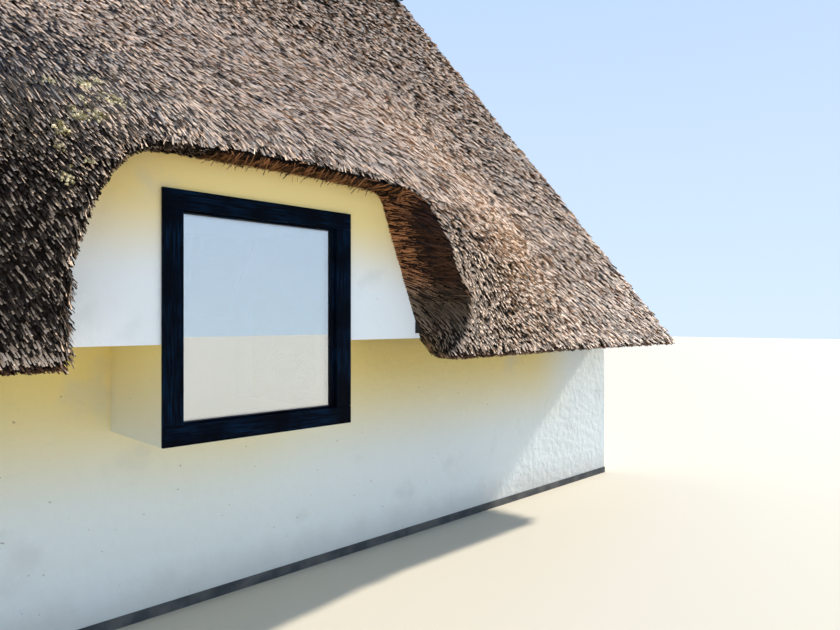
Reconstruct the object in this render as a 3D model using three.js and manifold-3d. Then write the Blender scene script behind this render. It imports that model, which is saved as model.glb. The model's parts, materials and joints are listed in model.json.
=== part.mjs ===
// A low cottage with whitewashed walls under a thatched roof.
// On the front and on the back the thatch is lifted like an eyebrow over a rendered dormer face,
// and a box window stands out of the wall below it.
// Millimetres, +X to the right along the front wall, +Y into the house, +Z up.
// The origin is the centre of the house on the ground.

import * as THREE from 'three';
import { mergeVertices } from 'three/addons/utils/BufferGeometryUtils.js';
import Module from 'manifold-3d';

const wasm = await Module();
wasm.setup();

// House
const GAP = 0.3;
const HALF_LENGTH = 4200;
const HALF_DEPTH = 3600;
const WALL = 300;
const PLINTH_HEIGHT = 55;
const PLINTH_PROUD = 6;
const FLOOR_TOP = 100;

// Roof
const PITCH = THREE.MathUtils.degToRad(50);
const THATCH = 300;
const EAVE_Z = 1300;
const EAVE_Z_LEFT = 1340;
const EAVE_Y = 4260;
const VERGE_X = 4424;
const VERGE_ROUND = 70;
const RIDGE_WIDTH = 650;
const RIDGE_EDGE = 60;
const RIDGE_CROWN = 95;

// Eyebrow over the box window. Its front leans out as it rises to the break, and the lean is
// the distance out for each distance up.
const HOOD_FRONT_Y = 4540;
const HOOD_LEAN = 0.14;
const HOOD_BREAK_Z = 2150;
const HOOD_PITCH = THREE.MathUtils.degToRad(35);
const BREAK_SOFTNESS = 500;
const HOOD_SOFTNESS = 350;
const HOOD_FLAT_HALF = 1000;
const HOOD_FADE = 2300;

// Hand-laid thatch isn't flat: waves of these heights and lengths cross it at these angles. They
// die away towards the eave, the ridge and the opening.
const SWELLS = [
  { height: 9, length: 2300, turn: 0.4, start: 0.8 },
  { height: 7, length: 1700, turn: 2.1, start: 2.9 },
  { height: 6, length: 1300, turn: 1.3, start: 4.4 },
];
const SWELLS_FULL_Z = 1900;
const SWELLS_FADE_Z = [4900, 5600];
const OPENING_MIDDLE_Z = 1600;
const SWELLS_AWAY = [900, 1800];

// Dormer face
const FACE_Y = 4189;
const FACE_THICKNESS = 100;
const FACE_BOTTOM_Z = 1410;
const FACE_FOOT_Z = 1472;
const FACE_HALF_LEFT = 1000;
const FACE_HALF_RIGHT = 1012;
const FACE_CORNER_X = 1036;
const SOFFIT_THICKNESS = 60;
const SOFFIT_HALF = 990;
const SOFFIT_LAP = 5;

// Box window
const FRAME_HALF = 504;
const FRAME_BOTTOM_Z = 972;
const FRAME_TOP_Z = 2078;
const CASING_PROUD = 15;
const CASING_SIDE = 92;
const CASING_HEAD = 88;
const CASING_FOOT = 90;
const BEAD_WIDTH = 9;
const BEAD_SET_BACK = 22;
const GLASS_SET_BACK = 40;
const GLASS_THICKNESS = 24;
const FRAME_DEPTH = 94;
const BOX_WALL = 63;

// Roof timbers
const RAFTER_WIDTH = 80;
const RAFTER_DEPTH = 160;
const RAFTER_PLACES = [-2900, -1350, 1350, 2900];
const COLLAR_Z = 3100;
const COLLAR_DEPTH = 160;
const RIDGE_BEAM_WIDTH = 120;
const RIDGE_BEAM_DEPTH = 220;

// Door in the left gable
const DOOR_HALF = 500;
const DOOR_TOP_Z = 2150;
const THRESHOLD_TOP_Z = 130;
const THRESHOLD_PROUD = 40;
const DOOR_SET_BACK = 50;
const DOOR_FRAME_DEPTH = 100;
const DOOR_FRAME_FACE = 60;
const DOOR_LEAF_THICKNESS = 50;
const DOOR_LEAF_SET_BACK = 20;
const DOOR_CLEARANCE = 3;
const HANDLE_Z = 1050;
const HANDLE_EDGE = 70;
const PLATE_HALF = 20;
const PLATE_BELOW = 90;
const PLATE_ABOVE = 60;
const PLATE_THICKNESS = 8;
const NECK_LENGTH = 50;
const LEVER_RADIUS = 9;
const LEVER_LENGTH = 120;

// Window in the right gable
const GABLE_WINDOW_SET_BACK = 40;

// Values worked out from the ones above
const THATCH_ACROSS = THATCH / Math.sin(PITCH);
const INNER_EAVE_Y = EAVE_Y - THATCH_ACROSS;
const RIDGE_Z = EAVE_Z + EAVE_Y * Math.tan(PITCH);
const INNER_RIDGE_Z = EAVE_Z + INNER_EAVE_Y * Math.tan(PITCH);
const WALL_TOP_Z = EAVE_Z + (INNER_EAVE_Y - HALF_DEPTH) * Math.tan(PITCH) - GAP / Math.cos(PITCH);
const ROOM_HALF_LENGTH = HALF_LENGTH - WALL;
const ROOM_HALF_DEPTH = HALF_DEPTH - WALL;
const WALL_FOOT_Z = PLINTH_HEIGHT + GAP;
const CASING_Y = FACE_Y + CASING_PROUD;

// How far a cutting block reaches past what it cuts. The opening's tool stands out in front of
// the eyebrow, and the slant of the reveal goes on past the lip for this share of its length.
const PAST = 10;
const TOOL_REACH = 200;
const TOOL_FOOT_Z = 1150;
const REVEAL_OVERRUN = 0.5;

const materials = {
  render: { color: 0xf2efe6, roughness: 0.85, metalness: 0 },
  plinth: { color: 0x4c4e50, roughness: 0.9, metalness: 0 },
  floor: { color: 0x9a948a, roughness: 0.8, metalness: 0 },
  thatch: { color: 0x8a7a66, roughness: 1, metalness: 0 },
  ridge: { color: 0x7b6d5b, roughness: 1, metalness: 0 },
  frame: { color: 0x14181f, roughness: 0.45, metalness: 0 },
  glass: { color: 0xbfd3d2, roughness: 0.05, metalness: 0 },
  timber: { color: 0xb08a5a, roughness: 0.75, metalness: 0 },
  door: { color: 0x1a2028, roughness: 0.5, metalness: 0 },
  metal: { color: 0xb8babb, roughness: 0.35, metalness: 1 },
};

const cottage = new THREE.Group();
cottage.name = 'thatched_cottage';

function addPiece(name, geometry, materialName) {
  const material = new THREE.MeshStandardMaterial(materials[materialName]);
  const mesh = new THREE.Mesh(geometry, material);
  mesh.name = name;
  cottage.add(mesh);
  return mesh;
}

// Solids for cutting and joining

function toSolid(geometry) {
  const bare = new THREE.BufferGeometry();
  bare.setAttribute('position', geometry.getAttribute('position'));
  if (geometry.index) bare.setIndex(geometry.index);
  const merged = mergeVertices(bare, 1e-3);
  return new wasm.Manifold(new wasm.Mesh({
    numProp: 3,
    vertProperties: new Float32Array(merged.getAttribute('position').array),
    triVerts: new Uint32Array(merged.index.array),
  }));
}

function toGeometry(solid) {
  const mesh = solid.getMesh();
  const geometry = new THREE.BufferGeometry();
  geometry.setAttribute('position', new THREE.BufferAttribute(mesh.vertProperties, 3));
  geometry.setIndex(new THREE.BufferAttribute(mesh.triVerts, 1));
  return geometry;
}

function cut(geometry, ...tools) {
  const solid = tools.reduce((rest, tool) => rest.subtract(toSolid(tool)), toSolid(geometry));
  return toGeometry(solid);
}

function join(first, ...others) {
  const solid = others.reduce((whole, other) => whole.add(toSolid(other)), toSolid(first));
  return toGeometry(solid);
}

// Simple shapes, given by their limits in the house's own directions

function block(x0, x1, y0, y1, z0, z1) {
  const geometry = new THREE.BoxGeometry(x1 - x0, y1 - y0, z1 - z0);
  return geometry.translate((x0 + x1) / 2, (y0 + y1) / 2, (z0 + z1) / 2);
}

// A section in Y and Z, run along X
function runAlongX(section, x0, x1) {
  const shape = new THREE.Shape(section.map(([y, z]) => new THREE.Vector2(y, z)));
  const geometry = new THREE.ExtrudeGeometry(shape, { depth: x1 - x0, bevelEnabled: false });
  const turn = new THREE.Matrix4().makeBasis(
    new THREE.Vector3(0, 1, 0),
    new THREE.Vector3(0, 0, 1),
    new THREE.Vector3(1, 0, 0),
  );
  return geometry.applyMatrix4(turn).translate(x0, 0, 0);
}

// Closed solid through rings that all have the same number of points, each in a plane of
// its own facing the front
function loft(drawnRings) {
  const clockwise = THREE.ShapeUtils.isClockWise(drawnRings[0].map(flatten));
  const rings = drawnRings.map((ring) => (clockwise ? [...ring].reverse() : ring));
  const count = rings[0].length;
  const positions = rings.flat().flatMap((point) => point.toArray());
  const index = [];
  for (let ring = 0; ring + 1 < rings.length; ring += 1) {
    for (let i = 0; i < count; i += 1) {
      const a = ring * count + i;
      const b = ring * count + ((i + 1) % count);
      index.push(a, b, b + count, a, b + count, a + count);
    }
  }
  const flat = rings[0].map(flatten);
  const last = (rings.length - 1) * count;
  for (const [a, b, c] of THREE.ShapeUtils.triangulateShape(flat, [])) {
    index.push(c, b, a, last + a, last + b, last + c);
  }
  const geometry = new THREE.BufferGeometry();
  geometry.setAttribute('position', new THREE.Float32BufferAttribute(positions, 3));
  geometry.setIndex(index);
  return outward(geometry);
}

function flatten(point) {
  return new THREE.Vector2(point.x, point.z);
}

// Turns every triangle over if the closed mesh has its faces pointing in
function outward(geometry) {
  const points = geometry.getAttribute('position');
  const index = geometry.index.array;
  const corners = [new THREE.Vector3(), new THREE.Vector3(), new THREE.Vector3()];
  let volume = 0;
  for (let i = 0; i < index.length; i += 3) {
    corners.forEach((corner, k) => corner.fromBufferAttribute(points, index[i + k]));
    volume += corners[0].dot(corners[1].clone().cross(corners[2]));
  }
  if (volume > 0) return geometry;
  for (let i = 0; i < index.length; i += 3) {
    [index[i + 1], index[i + 2]] = [index[i + 2], index[i + 1]];
  }
  return geometry;
}

// Half a turn about the vertical axis makes the back of the house from the front
function toBack(geometry) {
  return geometry.clone().rotateZ(Math.PI);
}

function addFrontAndBack(name, geometry, materialName) {
  addPiece(`${name}_front`, geometry, materialName);
  addPiece(`${name}_back`, toBack(geometry), materialName);
}

// The thatched surface: how far out of the middle of the house it lies at a place along
// the front and at a height. The main slope is a plane, and the hood over the window is a
// steep front with a flatter slope behind it.

function softMaximum(a, b, softness) {
  const share = THREE.MathUtils.clamp(0.5 + (a - b) / (2 * softness), 0, 1);
  return THREE.MathUtils.lerp(b, a, share) + softness * share * (1 - share);
}

function softMinimum(a, b, softness) {
  return -softMaximum(-a, -b, softness);
}

function hoodWeight(x) {
  const beyond = Math.max(0, Math.abs(x) - HOOD_FLAT_HALF) / HOOD_FADE;
  return 1 - THREE.MathUtils.smoothstep(beyond, 0, 1);
}

function surfaceOut(x, z, depth) {
  const slopeShift = depth / Math.sin(PITCH);
  const hoodShift = depth / Math.sin(HOOD_PITCH);
  const main = EAVE_Y - slopeShift - (z - EAVE_Z) / Math.tan(PITCH);
  const hoodSlope = HOOD_FRONT_Y - hoodShift - (z - HOOD_BREAK_Z) / Math.tan(HOOD_PITCH);
  const hoodFront = HOOD_FRONT_Y - depth + (z - HOOD_BREAK_Z) * HOOD_LEAN;
  const hood = softMinimum(hoodFront, hoodSlope, BREAK_SOFTNESS);
  return main + hoodWeight(x) * (softMaximum(main, hood, HOOD_SOFTNESS) - main);
}

function swellOut(x, z) {
  const along = (z - EAVE_Z) / Math.sin(PITCH);
  const waves = SWELLS.reduce((total, { height, length, turn, start }) => {
    const place = x * Math.cos(turn) + along * Math.sin(turn);
    return total + height * Math.sin((2 * Math.PI * place) / length + start);
  }, 0);
  const fromEave = THREE.MathUtils.smoothstep(z, EAVE_Z, SWELLS_FULL_Z);
  const fromRidge = 1 - THREE.MathUtils.smoothstep(z, ...SWELLS_FADE_Z);
  const fromOpening = THREE.MathUtils.smoothstep(Math.hypot(x, z - OPENING_MIDDLE_Z), ...SWELLS_AWAY);
  return waves * fromEave * fromRidge * fromOpening;
}

function eaveHeight(x) {
  const across = THREE.MathUtils.smoothstep(x, -FRAME_HALF, FRAME_HALF);
  return THREE.MathUtils.lerp(EAVE_Z_LEFT, EAVE_Z, across);
}

function vergeDrop(x) {
  const t = Math.max(0, Math.abs(x) - (VERGE_X - VERGE_ROUND)) / VERGE_ROUND;
  return VERGE_ROUND * (1 - Math.sqrt(Math.max(0, 1 - t * t)));
}

function slopeColumns() {
  const byTheOpening = [0, 350, 650, 850, 1000, 1150, 1300, 1450];
  const beyond = [1650, 1900, 2200, 2500, 2800, 3100, 3400, 3700, 4000];
  const verge = [VERGE_X - VERGE_ROUND, VERGE_X - 0.25 * VERGE_ROUND, VERGE_X];
  const half = [...byTheOpening, ...beyond, ...verge];
  const left = half.slice(1).reverse().map((x) => -x);
  return [...left, ...half];
}

function slopeRows() {
  const byTheOpening = [1500, 1700, 1900, 2050, 2180, 2300, 2450, 2650];
  const heights = [...byTheOpening, 2900, 3200, 3500, 3800, 4150, 4500, 4850, 5200, 5600];
  const shares = heights.map((z) => (z - EAVE_Z) / (RIDGE_Z - EAVE_Z));
  return [0, ...shares, 1];
}

function thatchSlope() {
  const columns = slopeColumns();
  const rows = slopeRows();
  const positions = [];
  const index = [];
  for (const x of columns) {
    for (const share of rows) {
      const low = eaveHeight(x);
      const z = THREE.MathUtils.lerp(low, RIDGE_Z, share);
      const innerZ = THREE.MathUtils.lerp(low, INNER_RIDGE_Z, share);
      const outer = surfaceOut(x, z, vergeDrop(x) * (1 - share)) + swellOut(x, z);
      const inner = surfaceOut(x, innerZ, THATCH);
      positions.push(x, -Math.max(outer, GAP / 2), z);
      positions.push(x, -Math.max(inner, GAP / 2), innerZ);
    }
  }
  const at = (column, row, side) => 2 * (column * rows.length + row) + side;
  const quad = (a, b, c, d) => index.push(a, b, c, a, c, d);
  const lastColumn = columns.length - 1;
  const lastRow = rows.length - 1;
  for (let i = 0; i < lastColumn; i += 1) {
    for (let j = 0; j < lastRow; j += 1) {
      quad(at(i, j, 0), at(i + 1, j, 0), at(i + 1, j + 1, 0), at(i, j + 1, 0));
      quad(at(i, j, 1), at(i, j + 1, 1), at(i + 1, j + 1, 1), at(i + 1, j, 1));
    }
    quad(at(i, 0, 0), at(i, 0, 1), at(i + 1, 0, 1), at(i + 1, 0, 0));
    quad(at(i, lastRow, 0), at(i + 1, lastRow, 0), at(i + 1, lastRow, 1), at(i, lastRow, 1));
  }
  for (let j = 0; j < lastRow; j += 1) {
    quad(at(0, j, 0), at(0, j + 1, 0), at(0, j + 1, 1), at(0, j, 1));
    quad(at(lastColumn, j, 0), at(lastColumn, j, 1), at(lastColumn, j + 1, 1), at(lastColumn, j + 1, 0));
  }
  const geometry = new THREE.BufferGeometry();
  geometry.setAttribute('position', new THREE.Float32BufferAttribute(positions, 3));
  geometry.setIndex(index);
  return outward(geometry);
}

// The opening under the eyebrow. The lip is drawn as it is seen from the front and lies on the
// thatched surface, and the reveal runs from it to the dormer face.

function openingRing(outline, outAt) {
  const path = new THREE.Path();
  outline(path);
  return path.getPoints(5).map(({ x, y: z }) => new THREE.Vector3(x, -outAt(x, z), z));
}

function lipOutline(path) {
  path.moveTo(-905, TOOL_FOOT_Z);
  path.lineTo(-927, 1650);
  path.quadraticCurveTo(-880, 2110, -600, 2195);
  path.quadraticCurveTo(-60, 2290, 640, 2240);
  path.quadraticCurveTo(975, 2248, 945, 2040);
  path.quadraticCurveTo(960, 1840, 1200, 1595);
  path.quadraticCurveTo(1240, 1480, 1035, 1290);
  path.lineTo(1010, TOOL_FOOT_Z);
}

// The arch of the dormer face, from its left edge over the top to its right edge
function drawFaceArch(path) {
  path.lineTo(-FACE_HALF_LEFT, FACE_FOOT_Z);
  path.quadraticCurveTo(-830, 2200, -620, 2222);
  path.quadraticCurveTo(0, 2254, 640, 2232);
  path.quadraticCurveTo(730, 2228, 752, 2130);
  path.quadraticCurveTo(882, 1801, FACE_HALF_RIGHT, FACE_FOOT_Z);
}

function faceOutline(path) {
  path.moveTo(-FACE_HALF_LEFT, TOOL_FOOT_Z);
  drawFaceArch(path);
  path.quadraticCurveTo(1056, 1433, 1160, 1350);
  path.lineTo(1200, TOOL_FOOT_Z);
}

// Behind the face the underside of the thatch rises further on the right
function backOutline(path) {
  path.moveTo(-FACE_HALF_LEFT, TOOL_FOOT_Z);
  drawFaceArch(path);
  path.quadraticCurveTo(1114, 1433, 1420, 1400);
  path.lineTo(1500, TOOL_FOOT_Z);
}

function openingTool() {
  const seenLip = openingRing(lipOutline, (x, z) => surfaceOut(x, z, 0));
  const face = openingRing(faceOutline, () => FACE_Y);
  const back = openingRing(backOutline, () => ROOM_HALF_DEPTH);
  const lip = seenLip.map((point, i) => point.clone().lerp(face[i], -REVEAL_OVERRUN));
  const outside = lip.map((point) => point.clone().setY(-HOOD_FRONT_Y - TOOL_REACH));
  return loft([outside, lip, face, back]);
}

// Dormer face: the opening's outline in the plane of the face, a notch for the box window
// and a soffit back to the wall on each side of it.

function dormerFace() {
  const plate = new THREE.Shape();
  plate.moveTo(-FACE_HALF_LEFT, FACE_BOTTOM_Z);
  drawFaceArch(plate);
  plate.lineTo(FACE_CORNER_X, FACE_BOTTOM_Z);
  const outline = plate.getPoints(5).map((point) => new THREE.Vector2(
    point.x - 2 * GAP * Math.sign(point.x),
    Math.max(FACE_BOTTOM_Z, point.y - 2 * GAP),
  ));
  const ring = (y) => outline.map((point) => new THREE.Vector3(point.x, -y, point.y));
  const panel = loft([ring(FACE_Y), ring(FACE_Y - FACE_THICKNESS)]);
  const hole = FRAME_HALF - BOX_WALL + GAP;
  const notchTop = FRAME_TOP_Z - BOX_WALL + GAP;
  const inside = -FACE_Y + FACE_THICKNESS;
  const face = cut(panel, block(-hole, hole, -FACE_Y - PAST, inside + PAST, 0, notchTop));
  const soffitTop = FACE_BOTTOM_Z + SOFFIT_THICKNESS;
  const boxSide = FRAME_HALF + GAP;
  const soffits = [[-SOFFIT_HALF, -boxSide], [boxSide, SOFFIT_HALF]].map(([x0, x1]) => (
    block(x0, x1, inside - SOFFIT_LAP, -HALF_DEPTH - GAP, FACE_BOTTOM_Z, soffitTop)
  ));
  return join(face, ...soffits);
}

// Box window: a white lining through the wall, stepped behind the dormer face

function windowBox() {
  const front = -FACE_Y + GAP;
  const back = -ROOM_HALF_DEPTH;
  const tube = block(-FRAME_HALF, FRAME_HALF, front, back, FRAME_BOTTOM_Z, FRAME_TOP_Z);
  const inner = FRAME_HALF - BOX_WALL;
  const low = FRAME_BOTTOM_Z + BOX_WALL;
  const bore = block(-inner, inner, front - PAST, back + PAST, low, FRAME_TOP_Z - BOX_WALL);
  const step = block(
    -FRAME_HALF - PAST,
    FRAME_HALF + PAST,
    front - PAST,
    -FACE_Y + FACE_THICKNESS + GAP,
    FACE_BOTTOM_Z - GAP,
    FRAME_TOP_Z + PAST,
  );
  return cut(tube, bore, step);
}

// Window frame, made facing front at a distance out of the middle of the house.
// The casing covers the edge of the opening, and the sash behind it fills the opening.

function windowFrame(casingY, casingHalf, sashHalf, bottomZ, topZ, casingDepth) {
  const inset = casingHalf - sashHalf;
  const casing = block(-casingHalf, casingHalf, -casingY, -casingY + casingDepth, bottomZ, topZ);
  const sash = block(
    -sashHalf,
    sashHalf,
    -casingY + casingDepth - 1,
    -casingY + FRAME_DEPTH,
    bottomZ + inset,
    topZ - inset,
  );
  const pane = paneLimits(casingHalf, bottomZ, topZ);
  const opening = pane.map((limit, i) => limit + (i % 2 === 0 ? BEAD_WIDTH : -BEAD_WIDTH));
  const [x0, x1, z0, z1] = pane;
  const glassY = -casingY + GLASS_SET_BACK;
  const outside = -casingY - PAST;
  const inside = -casingY + FRAME_DEPTH + PAST;
  return cut(
    join(casing, sash),
    block(opening[0], opening[1], outside, inside, opening[2], opening[3]),
    block(x0, x1, outside, -casingY + BEAD_SET_BACK, z0, z1),
    block(x0, x1, glassY - GAP, glassY + GLASS_THICKNESS + GAP, z0, z1),
  );
}

function paneLimits(casingHalf, bottomZ, topZ) {
  const half = casingHalf - CASING_SIDE;
  return [-half, half, bottomZ + CASING_FOOT, topZ - CASING_HEAD];
}

function windowGlass(casingY, casingHalf, bottomZ, topZ) {
  const [x0, x1, z0, z1] = paneLimits(casingHalf, bottomZ, topZ);
  const y = -casingY + GLASS_SET_BACK;
  return block(x0 + GAP, x1 - GAP, y, y + GLASS_THICKNESS, z0 + GAP, z1 - GAP);
}

// Walls

function longWall() {
  const wall = block(-HALF_LENGTH, HALF_LENGTH, -HALF_DEPTH, -ROOM_HALF_DEPTH, WALL_FOOT_Z, WALL_TOP_Z);
  const half = FRAME_HALF + GAP;
  const low = FRAME_BOTTOM_Z - GAP;
  const notch = block(-half, half, -HALF_DEPTH - PAST, -ROOM_HALF_DEPTH + PAST, low, WALL_TOP_Z + PAST);
  return cut(wall, notch);
}

function gableWall() {
  const side = ROOM_HALF_DEPTH - GAP;
  const shelf = WALL_TOP_Z + GAP;
  const ear = HALF_DEPTH - 2 * GAP;
  const section = [
    [-side, WALL_FOOT_Z],
    [side, WALL_FOOT_Z],
    [side, shelf],
    [ear, shelf],
    [0, INNER_RIDGE_Z - 2 * GAP],
    [-ear, shelf],
    [-side, shelf],
  ];
  return runAlongX(section, ROOM_HALF_LENGTH, HALF_LENGTH);
}

function plinth() {
  const x = HALF_LENGTH + PLINTH_PROUD;
  const y = HALF_DEPTH + PLINTH_PROUD;
  const [inX, inY] = [ROOM_HALF_LENGTH, ROOM_HALF_DEPTH];
  const inside = block(-inX, inX, -inY, inY, -PAST, PLINTH_HEIGHT + PAST);
  return cut(block(-x, x, -y, y, 0, PLINTH_HEIGHT), inside);
}

function floorSlab() {
  const x = ROOM_HALF_LENGTH - GAP;
  const y = ROOM_HALF_DEPTH - GAP;
  return block(-x, x, -y, y, 0, FLOOR_TOP);
}

// Roof timbers: each rafter lies under the thatch, with a flat seat on the wall

function rafter(x) {
  const drop = RAFTER_DEPTH / Math.cos(PITCH);
  const clearance = GAP / Math.cos(PITCH);
  const seat = WALL_TOP_Z + GAP;
  const topAt = (y) => EAVE_Z + (INNER_EAVE_Y - y) * Math.tan(PITCH) - clearance;
  const yAt = (z) => INNER_EAVE_Y - (z + clearance - EAVE_Z) / Math.tan(PITCH);
  const section = [
    [-yAt(seat), seat],
    [-yAt(seat + drop), seat],
    [-GAP / 2, topAt(GAP / 2) - drop],
    [-GAP / 2, topAt(GAP / 2)],
  ];
  return runAlongX(section, x - RAFTER_WIDTH / 2, x + RAFTER_WIDTH / 2);
}

function collarBeam(x) {
  const drop = (RAFTER_DEPTH + 2 * GAP) / Math.cos(PITCH);
  const reach = (z) => INNER_EAVE_Y - (z + drop - EAVE_Z) / Math.tan(PITCH);
  const low = COLLAR_Z;
  const high = COLLAR_Z + COLLAR_DEPTH;
  const section = [[-reach(low), low], [reach(low), low], [reach(high), high], [-reach(high), high]];
  return runAlongX(section, x - RAFTER_WIDTH / 2, x + RAFTER_WIDTH / 2);
}

function ridgeBeam() {
  const half = RIDGE_BEAM_WIDTH / 2;
  const drop = (RAFTER_DEPTH + 2 * GAP) / Math.cos(PITCH);
  const top = INNER_RIDGE_Z - drop - half * Math.tan(PITCH);
  const x = ROOM_HALF_LENGTH - GAP;
  return block(-x, x, -half, half, top - RIDGE_BEAM_DEPTH, top);
}

// Thatched ridge: a saddle over both slopes with a rounded crown

function thatchRidge() {
  const down = new THREE.Vector2(Math.cos(PITCH), -Math.sin(PITCH));
  const out = new THREE.Vector2(Math.sin(PITCH), Math.cos(PITCH));
  const peak = new THREE.Vector2(0, RIDGE_Z);
  const place = (along, off) => peak.clone().addScaledVector(down, along).addScaledVector(out, off);
  const foot = place(RIDGE_WIDTH, GAP);
  const edge = place(RIDGE_WIDTH, RIDGE_EDGE);
  const shoulder = place(RIDGE_CROWN * 2, RIDGE_CROWN);
  const crownZ = RIDGE_Z + RIDGE_CROWN / Math.cos(PITCH);
  const shape = new THREE.Shape();
  shape.moveTo(0, RIDGE_Z + GAP / Math.cos(PITCH));
  shape.lineTo(foot.x, foot.y);
  shape.lineTo(edge.x, edge.y);
  shape.lineTo(shoulder.x, shoulder.y);
  shape.quadraticCurveTo(0, crownZ, -shoulder.x, shoulder.y);
  shape.lineTo(-edge.x, edge.y);
  shape.lineTo(-foot.x, foot.y);
  const section = shape.getPoints(6).map((point) => [point.x, point.y]);
  return runAlongX(section, -VERGE_X, VERGE_X);
}

// Door in the left gable, made in its place

function doorFrame() {
  const x0 = -HALF_LENGTH + DOOR_SET_BACK;
  const x1 = x0 + DOOR_FRAME_DEPTH;
  const half = DOOR_HALF - GAP;
  const bottom = THRESHOLD_TOP_Z + GAP;
  const inner = half - DOOR_FRAME_FACE;
  const blank = block(x0, x1, -half, half, bottom, DOOR_TOP_Z - GAP);
  const way = block(x0 - PAST, x1 + PAST, -inner, inner, bottom - PAST, DOOR_TOP_Z - DOOR_FRAME_FACE);
  return cut(blank, way);
}

// The leaf is held on its hinges at one side and has its running gap on the others
function doorLeaf() {
  const x0 = -HALF_LENGTH + DOOR_SET_BACK + DOOR_LEAF_SET_BACK;
  const hinged = DOOR_HALF - DOOR_FRAME_FACE - 2 * GAP;
  const free = DOOR_HALF - DOOR_FRAME_FACE - DOOR_CLEARANCE;
  const top = DOOR_TOP_Z - DOOR_FRAME_FACE - DOOR_CLEARANCE;
  return block(x0, x0 + DOOR_LEAF_THICKNESS, -hinged, free, THRESHOLD_TOP_Z + DOOR_CLEARANCE, top);
}

function doorHandle() {
  const leafX = -HALF_LENGTH + DOOR_SET_BACK + DOOR_LEAF_SET_BACK;
  const y = DOOR_HALF - DOOR_FRAME_FACE - HANDLE_EDGE;
  const [low, high] = [HANDLE_Z - PLATE_BELOW, HANDLE_Z + PLATE_ABOVE];
  const plate = block(leafX - PLATE_THICKNESS, leafX - GAP, y - PLATE_HALF, y + PLATE_HALF, low, high);
  const neck = new THREE.CylinderGeometry(LEVER_RADIUS, LEVER_RADIUS, NECK_LENGTH, 12).rotateZ(Math.PI / 2);
  neck.translate(leafX - PLATE_THICKNESS / 2 - NECK_LENGTH / 2, y, HANDLE_Z);
  const lever = new THREE.CylinderGeometry(LEVER_RADIUS, LEVER_RADIUS, LEVER_LENGTH, 12);
  lever.translate(leafX - NECK_LENGTH, y - LEVER_LENGTH / 2 + LEVER_RADIUS, HANDLE_Z);
  return join(plate, neck, lever);
}

function doorThreshold() {
  const x0 = -HALF_LENGTH - THRESHOLD_PROUD;
  const half = DOOR_HALF - GAP;
  return block(x0, -ROOM_HALF_LENGTH, -half, half, PLINTH_HEIGHT + GAP, THRESHOLD_TOP_Z);
}

function doorOpening() {
  return block(-HALF_LENGTH - PAST, -ROOM_HALF_LENGTH + PAST, -DOOR_HALF, DOOR_HALF, 0, DOOR_TOP_Z);
}

function gableWindowOpening() {
  const half = FRAME_HALF;
  return block(ROOM_HALF_LENGTH - PAST, HALF_LENGTH + PAST, -half, half, FRAME_BOTTOM_Z, FRAME_TOP_Z);
}

// Putting the house together

addPiece('plinth', plinth(), 'plinth');
addPiece('floor_slab', floorSlab(), 'floor');
addPiece('wall_front', longWall(), 'render');
addPiece('wall_back', toBack(longWall()), 'render');
addPiece('wall_gable_left', cut(gableWall().rotateZ(Math.PI), doorOpening()), 'render');
addPiece('wall_gable_right', cut(gableWall(), gableWindowOpening()), 'render');

RAFTER_PLACES.forEach((x, i) => {
  addPiece(`rafter_front_${i + 1}`, rafter(x), 'timber');
  addPiece(`rafter_back_${i + 1}`, toBack(rafter(-x)), 'timber');
  addPiece(`collar_beam_${i + 1}`, collarBeam(x), 'timber');
});
addPiece('ridge_beam', ridgeBeam(), 'timber');

addFrontAndBack('thatch', cut(thatchSlope(), openingTool()), 'thatch');
addPiece('thatch_ridge', thatchRidge(), 'ridge');

addFrontAndBack('dormer_face', dormerFace(), 'render');
addFrontAndBack('window_box', windowBox(), 'render');
const sashHalf = FRAME_HALF - BOX_WALL - GAP;
const boxFrame = windowFrame(CASING_Y, FRAME_HALF, sashHalf, FRAME_BOTTOM_Z, FRAME_TOP_Z, CASING_PROUD - GAP);
addFrontAndBack('window_frame', boxFrame, 'frame');
addFrontAndBack('window_glass', windowGlass(CASING_Y, FRAME_HALF, FRAME_BOTTOM_Z, FRAME_TOP_Z), 'glass');

const gableCasing = HALF_LENGTH - GABLE_WINDOW_SET_BACK;
const gableHalf = FRAME_HALF - GAP;
const gableBottom = FRAME_BOTTOM_Z + GAP;
const gableTop = FRAME_TOP_Z - GAP;
const gableFrame = windowFrame(gableCasing, gableHalf, gableHalf, gableBottom, gableTop, CASING_PROUD);
addPiece('window_frame_right', gableFrame.rotateZ(Math.PI / 2), 'frame');
const gableGlass = windowGlass(gableCasing, gableHalf, gableBottom, gableTop);
addPiece('window_glass_right', gableGlass.rotateZ(Math.PI / 2), 'glass');

addPiece('door_frame', doorFrame(), 'frame');
addPiece('door_leaf', doorLeaf(), 'door');
addPiece('door_handle', doorHandle(), 'metal');
addPiece('door_threshold', doorThreshold(), 'plinth');

export default cottage;
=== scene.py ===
# %% [markdown]
# # A thatched cottage
# A low whitewashed house under a thick coat of reed. On the front and on the back the thatch is
# lifted like an eyebrow over a rendered dormer face, and a box window stands out of the wall below.
# The walls, floor and roof timbers come ready made at their real size. This lesson gives each of
# them its finish, and builds the thatch, the window joinery and the door from meshes.

# %% Loading the frame
import json
import math
import bmesh
import bpy
import numpy as np
from mathutils import Matrix, Vector

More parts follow.
